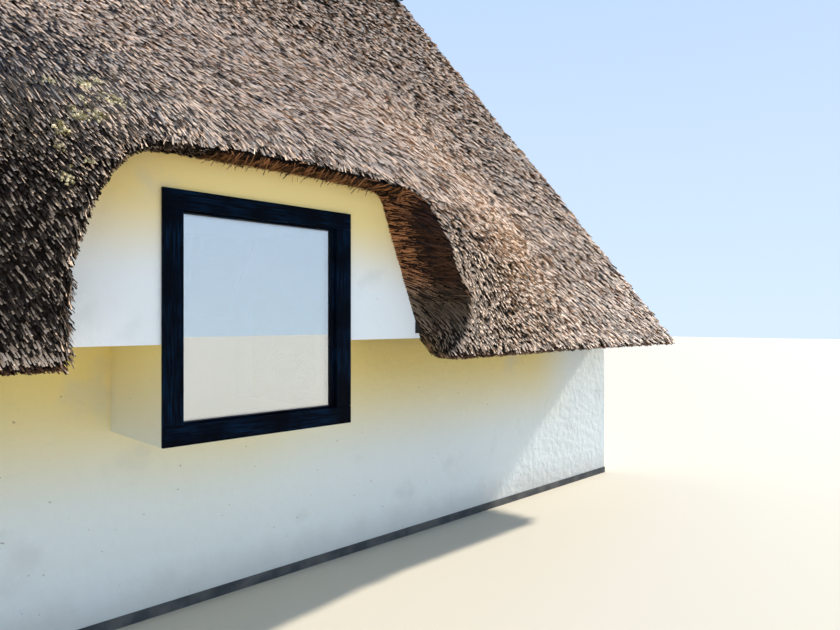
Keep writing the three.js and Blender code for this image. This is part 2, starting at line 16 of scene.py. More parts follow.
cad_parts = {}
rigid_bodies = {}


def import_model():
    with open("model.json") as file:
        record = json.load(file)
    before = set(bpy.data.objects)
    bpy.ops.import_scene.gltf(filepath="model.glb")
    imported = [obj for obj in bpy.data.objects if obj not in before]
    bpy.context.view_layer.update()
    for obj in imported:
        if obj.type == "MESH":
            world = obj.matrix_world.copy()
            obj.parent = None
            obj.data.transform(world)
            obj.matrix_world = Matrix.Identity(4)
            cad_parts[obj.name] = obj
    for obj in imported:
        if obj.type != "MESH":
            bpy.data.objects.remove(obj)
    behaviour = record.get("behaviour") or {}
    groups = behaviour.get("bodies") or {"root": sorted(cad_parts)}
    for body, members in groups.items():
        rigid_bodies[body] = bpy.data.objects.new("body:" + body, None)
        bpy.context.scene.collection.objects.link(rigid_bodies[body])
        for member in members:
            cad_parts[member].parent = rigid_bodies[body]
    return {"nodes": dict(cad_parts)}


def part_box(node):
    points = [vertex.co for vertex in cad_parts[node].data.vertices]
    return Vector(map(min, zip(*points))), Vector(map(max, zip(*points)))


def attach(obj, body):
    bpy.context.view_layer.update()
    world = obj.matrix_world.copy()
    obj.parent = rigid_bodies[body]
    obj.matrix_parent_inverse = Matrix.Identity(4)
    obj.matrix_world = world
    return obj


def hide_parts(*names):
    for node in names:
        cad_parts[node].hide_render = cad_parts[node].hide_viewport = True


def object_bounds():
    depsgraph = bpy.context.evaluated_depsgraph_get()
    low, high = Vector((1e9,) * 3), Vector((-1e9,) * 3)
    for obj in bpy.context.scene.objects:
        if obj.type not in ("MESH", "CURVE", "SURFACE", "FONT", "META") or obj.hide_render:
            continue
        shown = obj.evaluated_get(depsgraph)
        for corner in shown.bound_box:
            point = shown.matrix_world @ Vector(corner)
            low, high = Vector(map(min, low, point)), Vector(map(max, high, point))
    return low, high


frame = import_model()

frame_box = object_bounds()
nodes = frame["nodes"]
scene = bpy.context.scene
print("nodes:", len(nodes), "box:", [round(c, 3) for corner in frame_box for c in corner])

# %% [markdown]
# ## The viewpoint
# The eye is 1.5 m above the ground, close to the wall, and looks along it, level, to the right. A
# wide lens of about 28 mm on a full frame keeps the verge and the eave in the picture. The
# camera comes first, so that everything after it can be judged from where the eye is.

# %% Camera
EYE = Vector((-1.640, -6.900, 1.511))
LOOK_RIGHT_DEGREES = 44.6
LENS_MM = 27.64
SENSOR_MM = 36.0
HORIZON_SHIFT = 0.0071

camera_data = bpy.data.cameras.new("eye")
camera_data.lens = LENS_MM
camera_data.sensor_width = SENSOR_MM
camera_data.shift_y = HORIZON_SHIFT
camera_data.clip_end = 200
camera = bpy.data.objects.new("eye", camera_data)
camera.location = EYE
camera.rotation_euler = (math.radians(90), 0, -math.radians(LOOK_RIGHT_DEGREES))
scene.collection.objects.link(camera)
scene.camera = camera
print("camera at", [round(c, 2) for c in EYE])

# %% [markdown]
# ## Small helpers for meshes
# Most pieces here are boards with softened edges. A board could be a cube with a bevel modifier,
# but a mesh made at once with bmesh has nothing left to apply.

# %% Helpers for pieces


def add_piece(name, mesh, slot, *materials):
    """Puts a mesh in the scene as a piece of the house."""
    piece = bpy.data.objects.new(name, mesh)
    for material in materials:
        mesh.materials.append(material)
    scene.collection.objects.link(piece)
    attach(piece, "root")
    return piece


def board_into(bm, low, high, edge, material_index):
    """Adds a board between two corners, with its edges rounded off by edge."""
    low, high = Vector(low), Vector(high)
    already = set(bm.faces)
    made = bmesh.ops.create_cube(bm, size=1)
    verts = made["verts"]
    bmesh.ops.scale(bm, vec=high - low, verts=verts)
    bmesh.ops.translate(bm, vec=(low + high) / 2, verts=verts)
    edges = list({e for v in verts for e in v.link_edges})
    bmesh.ops.bevel(bm, geom=edges, offset=edge, segments=2, affect="EDGES", profile=0.7)
    for face in set(bm.faces) - already:
        face.material_index = material_index


def boards_mesh(name, boards):
    """One mesh of boards, each given by its corners, its edge and the number of its material."""
    bm = bmesh.new()
    for low, high, edge, material_index in boards:
        board_into(bm, low, high, edge, material_index)
    mesh = bpy.data.meshes.new(name)
    bm.to_mesh(mesh)
    bm.free()
    return mesh


def turned(mesh, degrees):
    """A copy of a mesh, turned about the vertical axis through the middle of the house."""
    copy = mesh.copy()
    copy.transform(Matrix.Rotation(math.radians(degrees), 4, "Z"))
    return copy


def triangles_in(piece):
    piece.data.calc_loop_triangles()
    return len(piece.data.loop_triangles)


print("helpers ready")

# %% [markdown]
# ## Shared effects
# Lime, paint and reed all weather in patches, and all have a fine grain. Each such effect is a
# small node group with named inputs, built once. A group gives out a mask, and each material
# decides what to do with it.

# %% Helpers for nodes
NODE_STEP = 190


def put(tree, kind, column, row=0, inputs=None, **settings):
    """Adds a node at a place in the tree, with its properties and what goes into it."""
    node = tree.nodes.new(kind)
    node.location = (column * NODE_STEP, -row * NODE_STEP)
    for key, value in settings.items():
        setattr(node, key, value)
    for label, value in (inputs or {}).items():
        if isinstance(value, bpy.types.NodeSocket):
            tree.links.new(value, node.inputs[label])
        else:
            node.inputs[label].default_value = value
    return node


def object_place(tree, column, row=0):
    return put(tree, "ShaderNodeTexCoord", column, row).outputs["Object"]


def calculate(tree, column, row, operation, *values):
    """One step of arithmetic on sockets and plain numbers."""
    inputs = dict(enumerate(values))
    return put(tree, "ShaderNodeMath", column, row, inputs, operation=operation).outputs[0]


def smooth_step(tree, column, row, value, low, high, ends=(0, 1)):
    """The first end where the value is below low, the second above high, and smooth between."""
    inputs = {"Value": value, "From Min": low, "From Max": high, "To Min": ends[0], "To Max": ends[1]}
    node = put(tree, "ShaderNodeMapRange", column, row, inputs, interpolation_type="SMOOTHSTEP")
    return node.outputs["Result"]


print("columns of nodes are", NODE_STEP, "units wide")

# %% Node groups


def new_effect(name, inputs):
    """An empty shader group that gives out a mask, and the sockets that bring in its inputs."""
    tree = bpy.data.node_groups.new(name, "ShaderNodeTree")
    for label, value in inputs.items():
        kind = "NodeSocketVector" if isinstance(value, tuple) else "NodeSocketFloat"
        socket = tree.interface.new_socket(label, in_out="INPUT", socket_type=kind)
        socket.default_value = value
    tree.interface.new_socket("Mask", in_out="OUTPUT", socket_type="NodeSocketFloat")
    return tree, put(tree, "NodeGroupInput", 0).outputs


def patches_effect():
    """Soft cloudy patches between two thresholds, dipped about the house's length and stretched."""
    wanted = {"Scale": 2.0, "Detail": 4.0, "Low": 0.4, "High": 0.6, "Dip": 0.0, "Stretch": (1, 1, 1)}
    tree, given = new_effect("soft patches", wanted)
    inputs = {"Vector": object_place(tree, 0, 1), "Angle": given["Dip"]}
    dipped = put(tree, "ShaderNodeVectorRotate", 1, 0, inputs, rotation_type="X_AXIS")
    inputs = {0: dipped.outputs[0], 1: given["Stretch"]}
    stretched = put(tree, "ShaderNodeVectorMath", 2, 0, inputs, operation="MULTIPLY")
    inputs = {"Vector": stretched.outputs[0], "Scale": given["Scale"], "Detail": given["Detail"]}
    noise = put(tree, "ShaderNodeTexNoise", 3, 0, inputs)
    mask = smooth_step(tree, 4, 0, noise.outputs["Fac"], given["Low"], given["High"])
    put(tree, "NodeGroupOutput", 5, 0, {"Mask": mask})
    return tree


def height_fade_effect():
    """A mask that is 1 above one height and 0 below another, with a wavering border."""
    wanted = {"Bottom": 0.0, "Top": 1.0, "Waver": 0.05, "Waver Scale": 3.0}
    tree, given = new_effect("fade with height", wanted)
    place = object_place(tree, 0, 1)
    height = put(tree, "ShaderNodeSeparateXYZ", 1, 0, {0: place}).outputs["Z"]
    inputs = {"Vector": place, "Scale": given["Waver Scale"], "Detail": 3}
    noise = put(tree, "ShaderNodeTexNoise", 1, 1, inputs)
    centred = calculate(tree, 2, 1, "SUBTRACT", noise.outputs["Fac"], 0.5)
    shifted = calculate(tree, 3, 0, "MULTIPLY_ADD", centred, given["Waver"], height)
    mask = smooth_step(tree, 4, 0, shifted, given["Bottom"], given["Top"])
    put(tree, "NodeGroupOutput", 5, 0, {"Mask": mask})
    return tree


soft_patches = patches_effect()
height_fade = height_fade_effect()
print("effects:", [tree.name for tree in (soft_patches, height_fade)])

# %% Helpers for materials
MIX_MASK, MIX_FIRST, MIX_SECOND = 0, 6, 7


def new_material(name, roughness, metallic=0.0):
    """A material with its Principled shader, which keeps every constant on its own socket."""
    material = bpy.data.materials.new(name)
    material.use_nodes = True
    shader = material.node_tree.nodes["Principled BSDF"]
    shader.inputs["Roughness"].default_value = roughness
    shader.inputs["Metallic"].default_value = metallic
    return material, material.node_tree, shader


def effect(tree, group, column, row, **values):
    """Places a shared effect in a material with its own values."""
    inputs = {label.replace("_", " "): value for label, value in values.items()}
    return put(tree, "ShaderNodeGroup", column, row, inputs, node_tree=group).outputs[0]


def thin(tree, column, row, mask, share):
    """A weaker mask."""
    return calculate(tree, column, row, "MULTIPLY", mask, share)


def mix_colours(tree, column, row, mask, first, second):
    """Mixes two colours, each a socket or a plain colour, by a mask."""
    first, second = ((*c, 1) if isinstance(c, tuple) else c for c in (first, second))
    inputs = {MIX_MASK: mask, MIX_FIRST: first, MIX_SECOND: second}
    return put(tree, "ShaderNodeMix", column, row, inputs, data_type="RGBA").outputs[2]


def add_bump(tree, shader, column, row, height, strength, distance, under=None):
    """A bump node under the shader, on top of an earlier one if there is one."""
    inputs = {"Strength": strength, "Distance": distance, "Height": height}
    if under is not None:
        inputs["Normal"] = under
    normal = put(tree, "ShaderNodeBump", column, row, inputs).outputs["Normal"]
    tree.links.new(normal, shader.inputs["Normal"])
    return normal


print("material helpers ready")

# %% [markdown]
# ## Lime render
# The walls have a smooth white render that is limewashed again and again. Close under the thatch
# it stays dry and has gone the colour of cream, though not at the ends of the long walls. That
# cream is made stronger as painted light, the warm light thrown up from the sunlit ground under
# the eaves, and the cool white is tinted a little cyan as painted sky light. Lower down rain keeps
# it a cool white, and near its foot it carries splashes. The render is hand trowelled, so its
# surface waves a little, and older coats show as faint clouds. The dormer faces get lighter copies
# of the limes, as painted light where the eyebrow shades them.

# %% Lime render material
COOL_LIME = (0.81, 0.86, 0.84)
# the cream is partly painted warm light, thrown up from the sunlit ground under the eaves
CREAM_AND_WARM_LIGHT_LIME = (0.90, 0.72, 0.27)
# lighter copies of the limes for the dormer faces, as painted light where the eyebrow shades them
PAINTED_LIGHT_COOL_LIME = (0.93, 0.96, 0.94)
PAINTED_LIGHT_CREAM_LIME = (0.99, 0.76, 0.30)
OLD_LIME = (0.60, 0.61, 0.58)
SPLASH = (0.50, 0.45, 0.38)
SPECK = (0.28, 0.22, 0.15)
WARM_LIGHT_ENDS = (2.9, 3.7)


def fade_warm_light_to_ends(tree, amount):
    """The amount of cream and painted warm light in the middle of a long wall, and none near its two ends.
    """
    along = put(tree, "ShaderNodeSeparateXYZ", 1, 7, {0: object_place(tree, 0, 7)}).outputs["X"]
    from_middle = calculate(tree, 2, 7, "ABSOLUTE", along)
    share = smooth_step(tree, 3, 7, from_middle, *WARM_LIGHT_ENDS, ends=(1, 0))
    return calculate(tree, 4, 7, "MULTIPLY", amount, share)


def lime_material(name, cream_heights, tones, relief, long_wall=False):
    """Limewash that goes from its cool tone to its cream one between two heights, partly as painted light:
    warm light thrown up from the ground under the eaves.
    """
    material, tree, shader = new_material(name, roughness=0.8)
    bottom, top = cream_heights
    cream = effect(tree, height_fade, 1, 0, Bottom=bottom, Top=top, Waver=0.12, Waver_Scale=1.3)
    if long_wall:
        cream = fade_warm_light_to_ends(tree, cream)
    base = mix_colours(tree, 2, 0, cream, *tones)
    clouds = effect(tree, soft_patches, 1, 1, Scale=3.0, Detail=9.0, Low=0.56, High=0.75)
    base = mix_colours(tree, 3, 0, thin(tree, 2, 1, clouds, share=0.35), base, OLD_LIME)
    dry = effect(tree, height_fade, 1, 2, Bottom=0.05, Top=0.30, Waver=0.18, Waver_Scale=6.0)
    wet = calculate(tree, 2, 2, "SUBTRACT", 1, dry)
    base = mix_colours(tree, 4, 0, thin(tree, 3, 2, wet, share=0.4), base, SPLASH)
    specks = effect(tree, soft_patches, 1, 3, Scale=42.0, Detail=1.0, Low=0.765, High=0.80)
    base = mix_colours(tree, 5, 0, thin(tree, 4, 3, specks, share=0.55), base, SPECK)
    tree.links.new(base, shader.inputs["Base Color"])
    trowel = effect(tree, soft_patches, 4, 4, Scale=2.6, Detail=3.0, Low=0.0, High=1.0)
    waves = add_bump(tree, shader, 5, 4, trowel, strength=relief, distance=0.012)
    daubs = effect(tree, soft_patches, 4, 5, Scale=17.0, Detail=4.0, Low=0.3, High=0.7)
    strokes = add_bump(tree, shader, 6, 4, daubs, strength=relief, distance=0.005, under=waves)
    grain = effect(tree, soft_patches, 4, 6, Scale=150.0, Detail=6.0, Low=0.0, High=1.0)
    add_bump(tree, shader, 7, 4, grain, strength=0.25, distance=0.0015, under=strokes)
    return material


lime_and_warm_light_tones = (COOL_LIME, CREAM_AND_WARM_LIGHT_LIME)
painted_light_tones = (PAINTED_LIGHT_COOL_LIME, PAINTED_LIGHT_CREAM_LIME)
wall_lime = lime_material("lime render on the walls", (0.50, 1.30), lime_and_warm_light_tones, 0.5, long_wall=True)
gable_lime = lime_material("lime render on the gables", (1.5, 14.0), lime_and_warm_light_tones, 0.5)
box_lime = lime_material("lime render on the window boxes", (0.75, 1.45), lime_and_warm_light_tones, 0.15)
# the dormer faces take the lighter limes, as painted light
face_lime = lime_material("lime render on the dormer faces", (1.64, 2.08), painted_light_tones, 0.15)
print("lime:", [m.name for m in (wall_lime, gable_lime, box_lime, face_lime)])

# %% [markdown]
# ## Painted joinery
# The window frame is softwood with several coats of a blue-black paint, put on with a brush. The
# brush leaves long fine ridges along each board, so a stile's pattern runs upright and a rail's
# runs across. A stretched noise gives that cheaply. Lighter blue patches along the brushing are
# painted sheen.

# %% Paint
PAINT_DARK = (0.0006, 0.0016, 0.0045)
PAINT_SHEEN_BLUE = (0.0020, 0.0150, 0.0400)
PAINT_ROUGHNESS = (0.30, 0.55)


def paint_material(name, stretch):
    """Brushed paint, with painted sheen in lighter blue patches. Its ridges run along the axis that is
    stretched least.
    """
    material, tree, shader = new_material(name, roughness=0.45)
    shader.inputs["Specular IOR Level"].default_value = 0.03
    brushing = effect(tree, soft_patches, 1, 0, Scale=14.0, Detail=5.0, Low=0.35, High=0.7, Stretch=stretch)
    patches = effect(tree, soft_patches, 1, 1, Scale=5.0, Detail=3.0, Low=0.35, High=0.65)
    # where both masks meet, the paint turns a lighter blue as painted sheen
    both = calculate(tree, 2, 0, "MULTIPLY", brushing, patches)
    base = mix_colours(tree, 3, 0, both, PAINT_DARK, PAINT_SHEEN_BLUE)
    tree.links.new(base, shader.inputs["Base Color"])
    least, most = PAINT_ROUGHNESS
    gloss = put(tree, "ShaderNodeMapRange", 3, 1, {"Value": brushing, "To Min": least, "To Max": most})
    tree.links.new(gloss.outputs["Result"], shader.inputs["Roughness"])
    ridges = effect(tree, soft_patches, 3, 2, Scale=60.0, Detail=4.0, Low=0.2, High=0.8, Stretch=stretch)
    add_bump(tree, shader, 4, 2, ridges, strength=0.5, distance=0.0012)
    return material


paint_upright = paint_material("paint brushed upright", (9, 9, 0.6))
paint_across = paint_material("paint brushed across", (0.6, 0.6, 9))
print("paints:", [m.name for m in (paint_upright, paint_across)])

# %% [markdown]
# ## Timber, masonry, glass and steel
# The other finishes are plainer. Sawn wood and brushed steel show a stretched grain, and the
# plinth, the floor and the doorstone show clouds in two tones under a fine grit. The room is so
# dark that the panes mirror like still water. A high index of refraction gives that, where a
# mirror material would hide the room for good.

# %% Timber, plinth, glass and steel
TIMBER_TONES = ((0.30, 0.19, 0.10), (0.48, 0.34, 0.20))
GLASS_TINTS = ((0.88, 0.95, 0.93), (0.93, 0.97, 0.96))
GLASS_IOR = 5.0
STEEL_TONES = ((0.50, 0.50, 0.50), (0.66, 0.66, 0.65))


def toned_material(name, tones, roughness, metallic=0.0, **patches):
    """A material with soft patches in a second tone, and the mask of its patches."""
    material, tree, shader = new_material(name, roughness, metallic)
    mask = effect(tree, soft_patches, 1, 0, **patches)
    tree.links.new(mix_colours(tree, 2, 0, mask, *tones), shader.inputs["Base Color"])
    return material, tree, shader, mask


def timber_material():
    grain = {"Scale": 9.0, "Detail": 6.0, "Low": 0.3, "High": 0.7, "Stretch": (6, 1, 1)}
    material, tree, shader, mask = toned_material("sawn softwood", TIMBER_TONES, 0.7, **grain)
    add_bump(tree, shader, 3, 1, mask, strength=0.3, distance=0.002)
    return material


def two_tone_material(name, tones, roughness, scale, grit_scale, relief):
    """A plain mineral or plastic coat with clouds in two tones and a fine grain."""
    clouds = {"Scale": scale, "Detail": 6.0, "Low": 0.35, "High": 0.7}
    material, tree, shader, _ = toned_material(name, tones, roughness, **clouds)
    grit = effect(tree, soft_patches, 1, 1, Scale=grit_scale, Detail=3.0, Low=0.2, High=0.8)
    add_bump(tree, shader, 3, 1, grit, strength=0.5, distance=relief)
    return material


def glass_material():
    """Glass that mirrors strongly, as two panes with the dark behind them do."""
    haze = {"Scale": 2.0, "Detail": 3.0, "Low": 0.3, "High": 0.8}
    material, _, shader, _ = toned_material("window glass", GLASS_TINTS, 0.01, **haze)
    shader.inputs["Transmission Weight"].default_value = 1.0
    shader.inputs["IOR"].default_value = GLASS_IOR
    return material


def steel_material():
    brushing = {"Scale": 60.0, "Detail": 3.0, "Low": 0.2, "High": 0.8, "Stretch": (1, 1, 8)}
    return toned_material("satin steel", STEEL_TONES, 0.35, metallic=1.0, **brushing)[0]


sawn_timber = timber_material()
plinth_tones = ((0.045, 0.050, 0.055), (0.120, 0.118, 0.110))
plinth_coat = two_tone_material(
    "dark plinth coat", plinth_tones, roughness=0.75, scale=7, grit_scale=120, relief=0.002
)
screed_tones = ((0.34, 0.31, 0.28), (0.48, 0.45, 0.41))
screed = two_tone_material("screed", screed_tones, roughness=0.6, scale=1.4, grit_scale=60, relief=0.001)
stone_tones = ((0.20, 0.20, 0.19), (0.34, 0.33, 0.31))
doorstone = two_tone_material(
    "doorstone", stone_tones, roughness=0.7, scale=9, grit_scale=90, relief=0.002
)
spacer_tones = ((0.42, 0.45, 0.46), (0.52, 0.54, 0.55))
spacer_grey = two_tone_material(
    "grey spacer", spacer_tones, roughness=0.5, scale=12, grit_scale=200, relief=0.0002
)
pane = glass_material()
satin_steel = steel_material()
print("joinery and masonry materials ready")

# %% [markdown]
# ## Reed
# A thatched roof shows the cut ends of millions of reeds. Their tips are weathered to a pinkish
# grey, and the gaps between them lie in deep shade, which is painted in: each reed turns nearly
# black towards its buried end. Where the sun and rain don't reach, in the reveal round the window,
# the reed is still reddish brown, and that brown is painted very dark as painted shade. Each reed
# here carries four numbers: its own tone, how sheltered and shaded it is, how much lichen grows on
# it, and how far along it a point lies, so that one material serves them all.

# %% Reed materials
REED_DARK = (0.016, 0.010, 0.007)
REED_PALE = (0.930, 0.710, 0.515)
REED_BROWN_IN_SHADE = (0.030, 0.010, 0.005)
REED_GOLD = (0.640, 0.245, 0.080)
REED_GAP_SHADE = (0.010, 0.007, 0.005)
REED_STRAW = (0.800, 0.600, 0.380)
LICHEN = (0.950, 0.790, 0.480)
BED_SHADED_TAN = (0.060, 0.040, 0.028)
LIT_ALONG = (0.1, 0.6)
REED_DIP_DEGREES = 36


def read_number(tree, column, row, name):
    return put(tree, "ShaderNodeAttribute", column, row, attribute_name=name).outputs["Fac"]


def reed_material():
    """Reed from dark to bleached in the open and brown in shelter, the brown darkened as painted shade, and
    nearly black at its root as painted shade in the gaps.
    """
    material, tree, shader = new_material("reed", roughness=0.6)
    shader.inputs["Specular IOR Level"].default_value = 0.15
    tone = read_number(tree, 0, 0, "tone")
    open_air = mix_colours(tree, 2, 0, tone, REED_DARK, REED_PALE)
    warm = effect(tree, soft_patches, 1, 1, Scale=1.6, Detail=6.0, Low=0.5, High=0.72)
    open_air = mix_colours(tree, 3, 0, thin(tree, 2, 1, warm, share=0.14), open_air, REED_STRAW)
    lichen = read_number(tree, 0, 2, "lichen")
    open_air = mix_colours(tree, 4, 0, lichen, open_air, LICHEN)
    shelter_and_shade = read_number(tree, 0, 3, "shelter_and_shade")
    # the brown of sheltered reed is painted very dark, as painted shade
    brown = mix_colours(tree, 2, 3, tone, REED_BROWN_IN_SHADE, REED_GOLD)
    colour = mix_colours(tree, 5, 0, shelter_and_shade, open_air, brown)
    # towards its buried root each reed turns nearly black, as painted shade in the gaps
    lit = smooth_step(tree, 4, 4, read_number(tree, 0, 4, "along"), *LIT_ALONG)
    colour = mix_colours(tree, 6, 0, lit, REED_GAP_SHADE, colour)
    tree.links.new(colour, shader.inputs["Base Color"])
    fibre = effect(tree, soft_patches, 5, 5, Scale=300.0, Detail=2.0, Low=0.2, High=0.8)
    add_bump(tree, shader, 6, 5, fibre, strength=0.3, distance=0.001)
    return material


def thatch_bed_material(name, dip):
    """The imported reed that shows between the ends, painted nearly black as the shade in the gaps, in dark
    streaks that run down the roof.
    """
    material, tree, shader = new_material(name, roughness=0.9)
    shader.inputs["Specular IOR Level"].default_value = 0.1
    streaks = effect(
        tree, soft_patches, 1, 0, Scale=11.0, Detail=3.0, Low=0.42, High=0.68, Dip=dip, Stretch=(11, 1, 7)
    )
    clouds = effect(tree, soft_patches, 1, 1, Scale=3.0, Detail=6.0, Low=0.3, High=0.7)
    both = calculate(tree, 2, 1, "MULTIPLY", streaks, clouds)
    # both tones are nearly black, as painted shade down in the gaps
    base = mix_colours(tree, 3, 0, both, REED_GAP_SHADE, BED_SHADED_TAN)
    tree.links.new(base, shader.inputs["Base Color"])
    add_bump(tree, shader, 3, 1, streaks, strength=0.9, distance=0.012)
    return material


reed = reed_material()
front_bed = thatch_bed_material("packed reed on the front", -math.radians(REED_DIP_DEGREES))
back_bed = thatch_bed_material("packed reed on the back", math.radians(REED_DIP_DEGREES))
print("reed materials:", [m.name for m in (reed, front_bed, back_bed)])

# %% [markdown]
# ## The bed of the thatch
# The solid slope has the right form, but its edges are knife sharp. A voxel remesh gives an even
# skin all over it, and smoothing rounds the lip, the verges and the eave. The reeds are planted
# on this skin. The bed that stays in the scene is a thinned copy of it, because reeds cover it,
# and it lies a little deeper, so that the ends stand free and dark gaps show between them.

# %% Making the bed
SKIN_VOXEL = 0.020
BED_VOXEL = 0.034
SMOOTH_TURNS = 2
SMOOTH_FACTOR = 0.5
KEEP_SHARE = 0.18
BED_DEPTH = 0.016
SLOPE_NORMAL = np.array([0.0, -0.766, 0.643])


def rounded_copy(node_name, name, voxel, turns, keep=1.0):
    """A remeshed and smoothed copy of a solid, with a share of its faces."""
    copy = bpy.data.objects.new(name, nodes[node_name].data.copy())
    copy.data.materials.clear()
    scene.collection.objects.link(copy)
    remesh = copy.modifiers.new("even skin", "REMESH")
    remesh.mode = "VOXEL"
    remesh.voxel_size = voxel
    smooth = copy.modifiers.new("round edges", "SMOOTH")
    smooth.factor = SMOOTH_FACTOR
    smooth.iterations = turns
    thinner = copy.modifiers.new("fewer faces", "DECIMATE")
    thinner.ratio = keep
    graph = bpy.context.evaluated_depsgraph_get()
    mesh = bpy.data.meshes.new_from_object(copy.evaluated_get(graph))
    bpy.data.objects.remove(copy)
    mesh.name = name
    return mesh


def read_vectors(items, field):
    found = np.empty(len(items) * 3, np.float32)
    items.foreach_get(field, found)
    return found.reshape(-1, 3)


def outer_share(normal):
    """1 on the slope's outer side, 0 on its underside and in the reveal."""
    return np.clip(2 * normal @ SLOPE_NORMAL, 0, 1)


def sink(mesh, depth):
    """Moves the outer side of a slope's skin inwards."""
    places = read_vectors(mesh.vertices, "co")
    normals = read_vectors(mesh.vertex_normals, "vector")
    places -= (normals * depth * outer_share(normals)[:, None]).astype(np.float32)
    mesh.vertices.foreach_set("co", places.ravel())
    mesh.update()


skin = rounded_copy("thatch_front", "thatch_skin", SKIN_VOXEL, SMOOTH_TURNS)
bed_mesh = rounded_copy("thatch_front", "thatch_bed_front", BED_VOXEL, SMOOTH_TURNS, KEEP_SHARE)
sink(bed_mesh, BED_DEPTH)
bed_back_mesh = turned(bed_mesh, 180)
bed_front = add_piece("thatch_bed_front", bed_mesh, "thatch", front_bed)
bed_back = add_piece("thatch_bed_back", bed_back_mesh, "thatch", back_bed)
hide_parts("thatch_front")
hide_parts("thatch_back")
print("bed:", triangles_in(bed_front), "triangles a slope")

# %% [markdown]
# ## Where the reeds grow
# Reeds are planted at random places on the skin. Near the viewpoint they are fine and stand close
# together, further away they are wider and fewer, and the roof looks equally full all over. The
# hidden underside gets none. A place belongs to the reveal when its skin faces the middle of the
# opening, and there the reeds are longer, thinner and browner.

# %% The opening and its reveal
FACE_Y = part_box("dormer_face_front")[0].y
EAVE_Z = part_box("thatch_front")[0].z
OPENING_HALF = 1.36
OPENING_TOP_Z = 2.38
OPENING_CENTRE = np.array([0.1, 1.6])
FACE_MARGIN = 0.01
REVEAL_FACING = 0.3


def near_opening(place):
    return (np.abs(place[:, 0]) < OPENING_HALF) & (place[:, 2] < OPENING_TOP_Z)


def in_reveal(place, normal):
    """Whether the skin at a place faces the middle of the opening, in front of the dormer face."""
    toward = OPENING_CENTRE - place[:, (0, 2)]
    toward /= np.linalg.norm(toward, axis=1)[:, None]
    facing = (toward * normal[:, (0, 2)]).sum(1)
    return near_opening(place) & (facing > REVEAL_FACING) & (place[:, 1] < FACE_Y + FACE_MARGIN)


print("eave at", round(EAVE_Z, 3), "face at", round(FACE_Y, 3))

# %% How wide the reeds are and how close they stand
RIDGE_COVER_Z = 5.86
WIDTH_PER_METRE = 0.0022
COARSER_BESIDE = 0.006
BESIDE = (1.3, 2.6)
LEAST_FACING = -0.2
LOOKS_DOWN = -0.3
CUT_HEIGHT = 0.10
CLOSER_AT_EDGES = 1.2


def between(value, low, high):
    """A smooth step from 0 to 1."""
    share = np.clip((value - low) / (high - low), 0, 1)
    return share * share * (3 - 2 * share)


def bell(value, middle, spread):
    """1 at the middle, falling off smoothly on both sides."""
    return np.exp(-(((value - middle) / spread) ** 2))


def reed_size(place):
    """How wide the reeds at a place are. They are finest where the eye is closest."""
    away = np.linalg.norm(place - np.array(EYE), axis=1)
    return WIDTH_PER_METRE * away + COARSER_BESIDE * between(-place[:, 0], *BESIDE)


def slope_density(place, normal):
    """How thickly a slope is planted: finer reeds stand closer together."""
    behind = near_opening(place) & (place[:, 1] > FACE_Y + FACE_MARGIN)
    shown = (normal @ SLOPE_NORMAL > LEAST_FACING) & ~behind
    eave_cut = (place[:, 2] < EAVE_Z + CUT_HEIGHT) & (normal[:, 2] < LOOKS_DOWN)
    edge = in_reveal(place, normal) | eave_cut
    gain = np.where(edge, CLOSER_AT_EDGES, np.where(shown, 1.0, 0.0))
    return gain * (place[:, 2] < RIDGE_COVER_Z) / reed_size(place) ** 2


print("reeds under the eye:", round(1000 * WIDTH_PER_METRE, 1), "mm wide for each metre away")

# %% Random places on a skin


def skin_samples(mesh, count, density, rng):
    """Random places on a skin, thicker where density is higher, with their normals."""
    mesh.calc_loop_triangles()
    corners = np.empty(len(mesh.loop_triangles) * 3, np.int32)
    mesh.loop_triangles.foreach_get("vertices", corners)
    corners = corners.reshape(-1, 3)
    places = read_vectors(mesh.vertices, "co")[corners]
    normals = read_vectors(mesh.vertex_normals, "vector")[corners]
    sides = np.cross(places[:, 1] - places[:, 0], places[:, 2] - places[:, 0])
    area = np.linalg.norm(sides, axis=1) / 2
    weight = area * density(places.mean(1), normals.mean(1))
    chosen = rng.choice(len(area), size=count, p=weight / weight.sum())
    share = rng.dirichlet((1, 1, 1), size=count)[:, :, None]
    place = (places[chosen] * share).sum(1)
    normal = (normals[chosen] * share).sum(1)
    return place, normal / np.linalg.norm(normal, axis=1)[:, None]


print("skin:", len(skin.polygons), "faces to plant on")

# %% [markdown]
# ## Which way the reeds point
# Reeds are laid flatter than the roof and cut off along its surface, so they all point the same
# way, down and outwards. On the eyebrow's left flank they lean to the side. In the reveal they
# come straight forwards, lie nearly flat, and fall more steeply the lower they are.

# %% Headings of the reeds
REED_DIP = math.radians(REED_DIP_DEGREES)
DOWNHILL = np.array([0.02, -math.cos(REED_DIP), -math.sin(REED_DIP)])
LEAST_RISE = math.sin(math.radians(5))
MOST_RISE = math.sin(math.radians(38))
MOST_RISE_AT_CUT = math.sin(math.radians(70))
RISE_KEPT_INSIDE = 0.35
REED_SPREAD = 0.055
FLANK_LEAN = 0.16
FLANK_X = -1.05
FLANK_SPREAD = 0.45
FLANK_TOP_Z = 2.4
SWAY = 0.05
SWAY_SIZE = 0.6
SWAY_SEED = 5
SWAY_WAVES = 9
SWAY_LENGTHS = (0.6, 1.8)
# how far the reeds in the reveal fall for each metre forwards, going up
REVEAL_HEIGHTS = [1.40, 1.52, 1.74, 1.94, 2.20]
REVEAL_FALLS = [1.29, 0.85, 0.46, 0.20, 0.30]


def unit(vectors):
    return vectors / np.maximum(np.linalg.norm(vectors, axis=1), 1e-6)[:, None]


def along_skin(vectors, normal):
    return unit(vectors - normal * (vectors * normal).sum(1)[:, None])


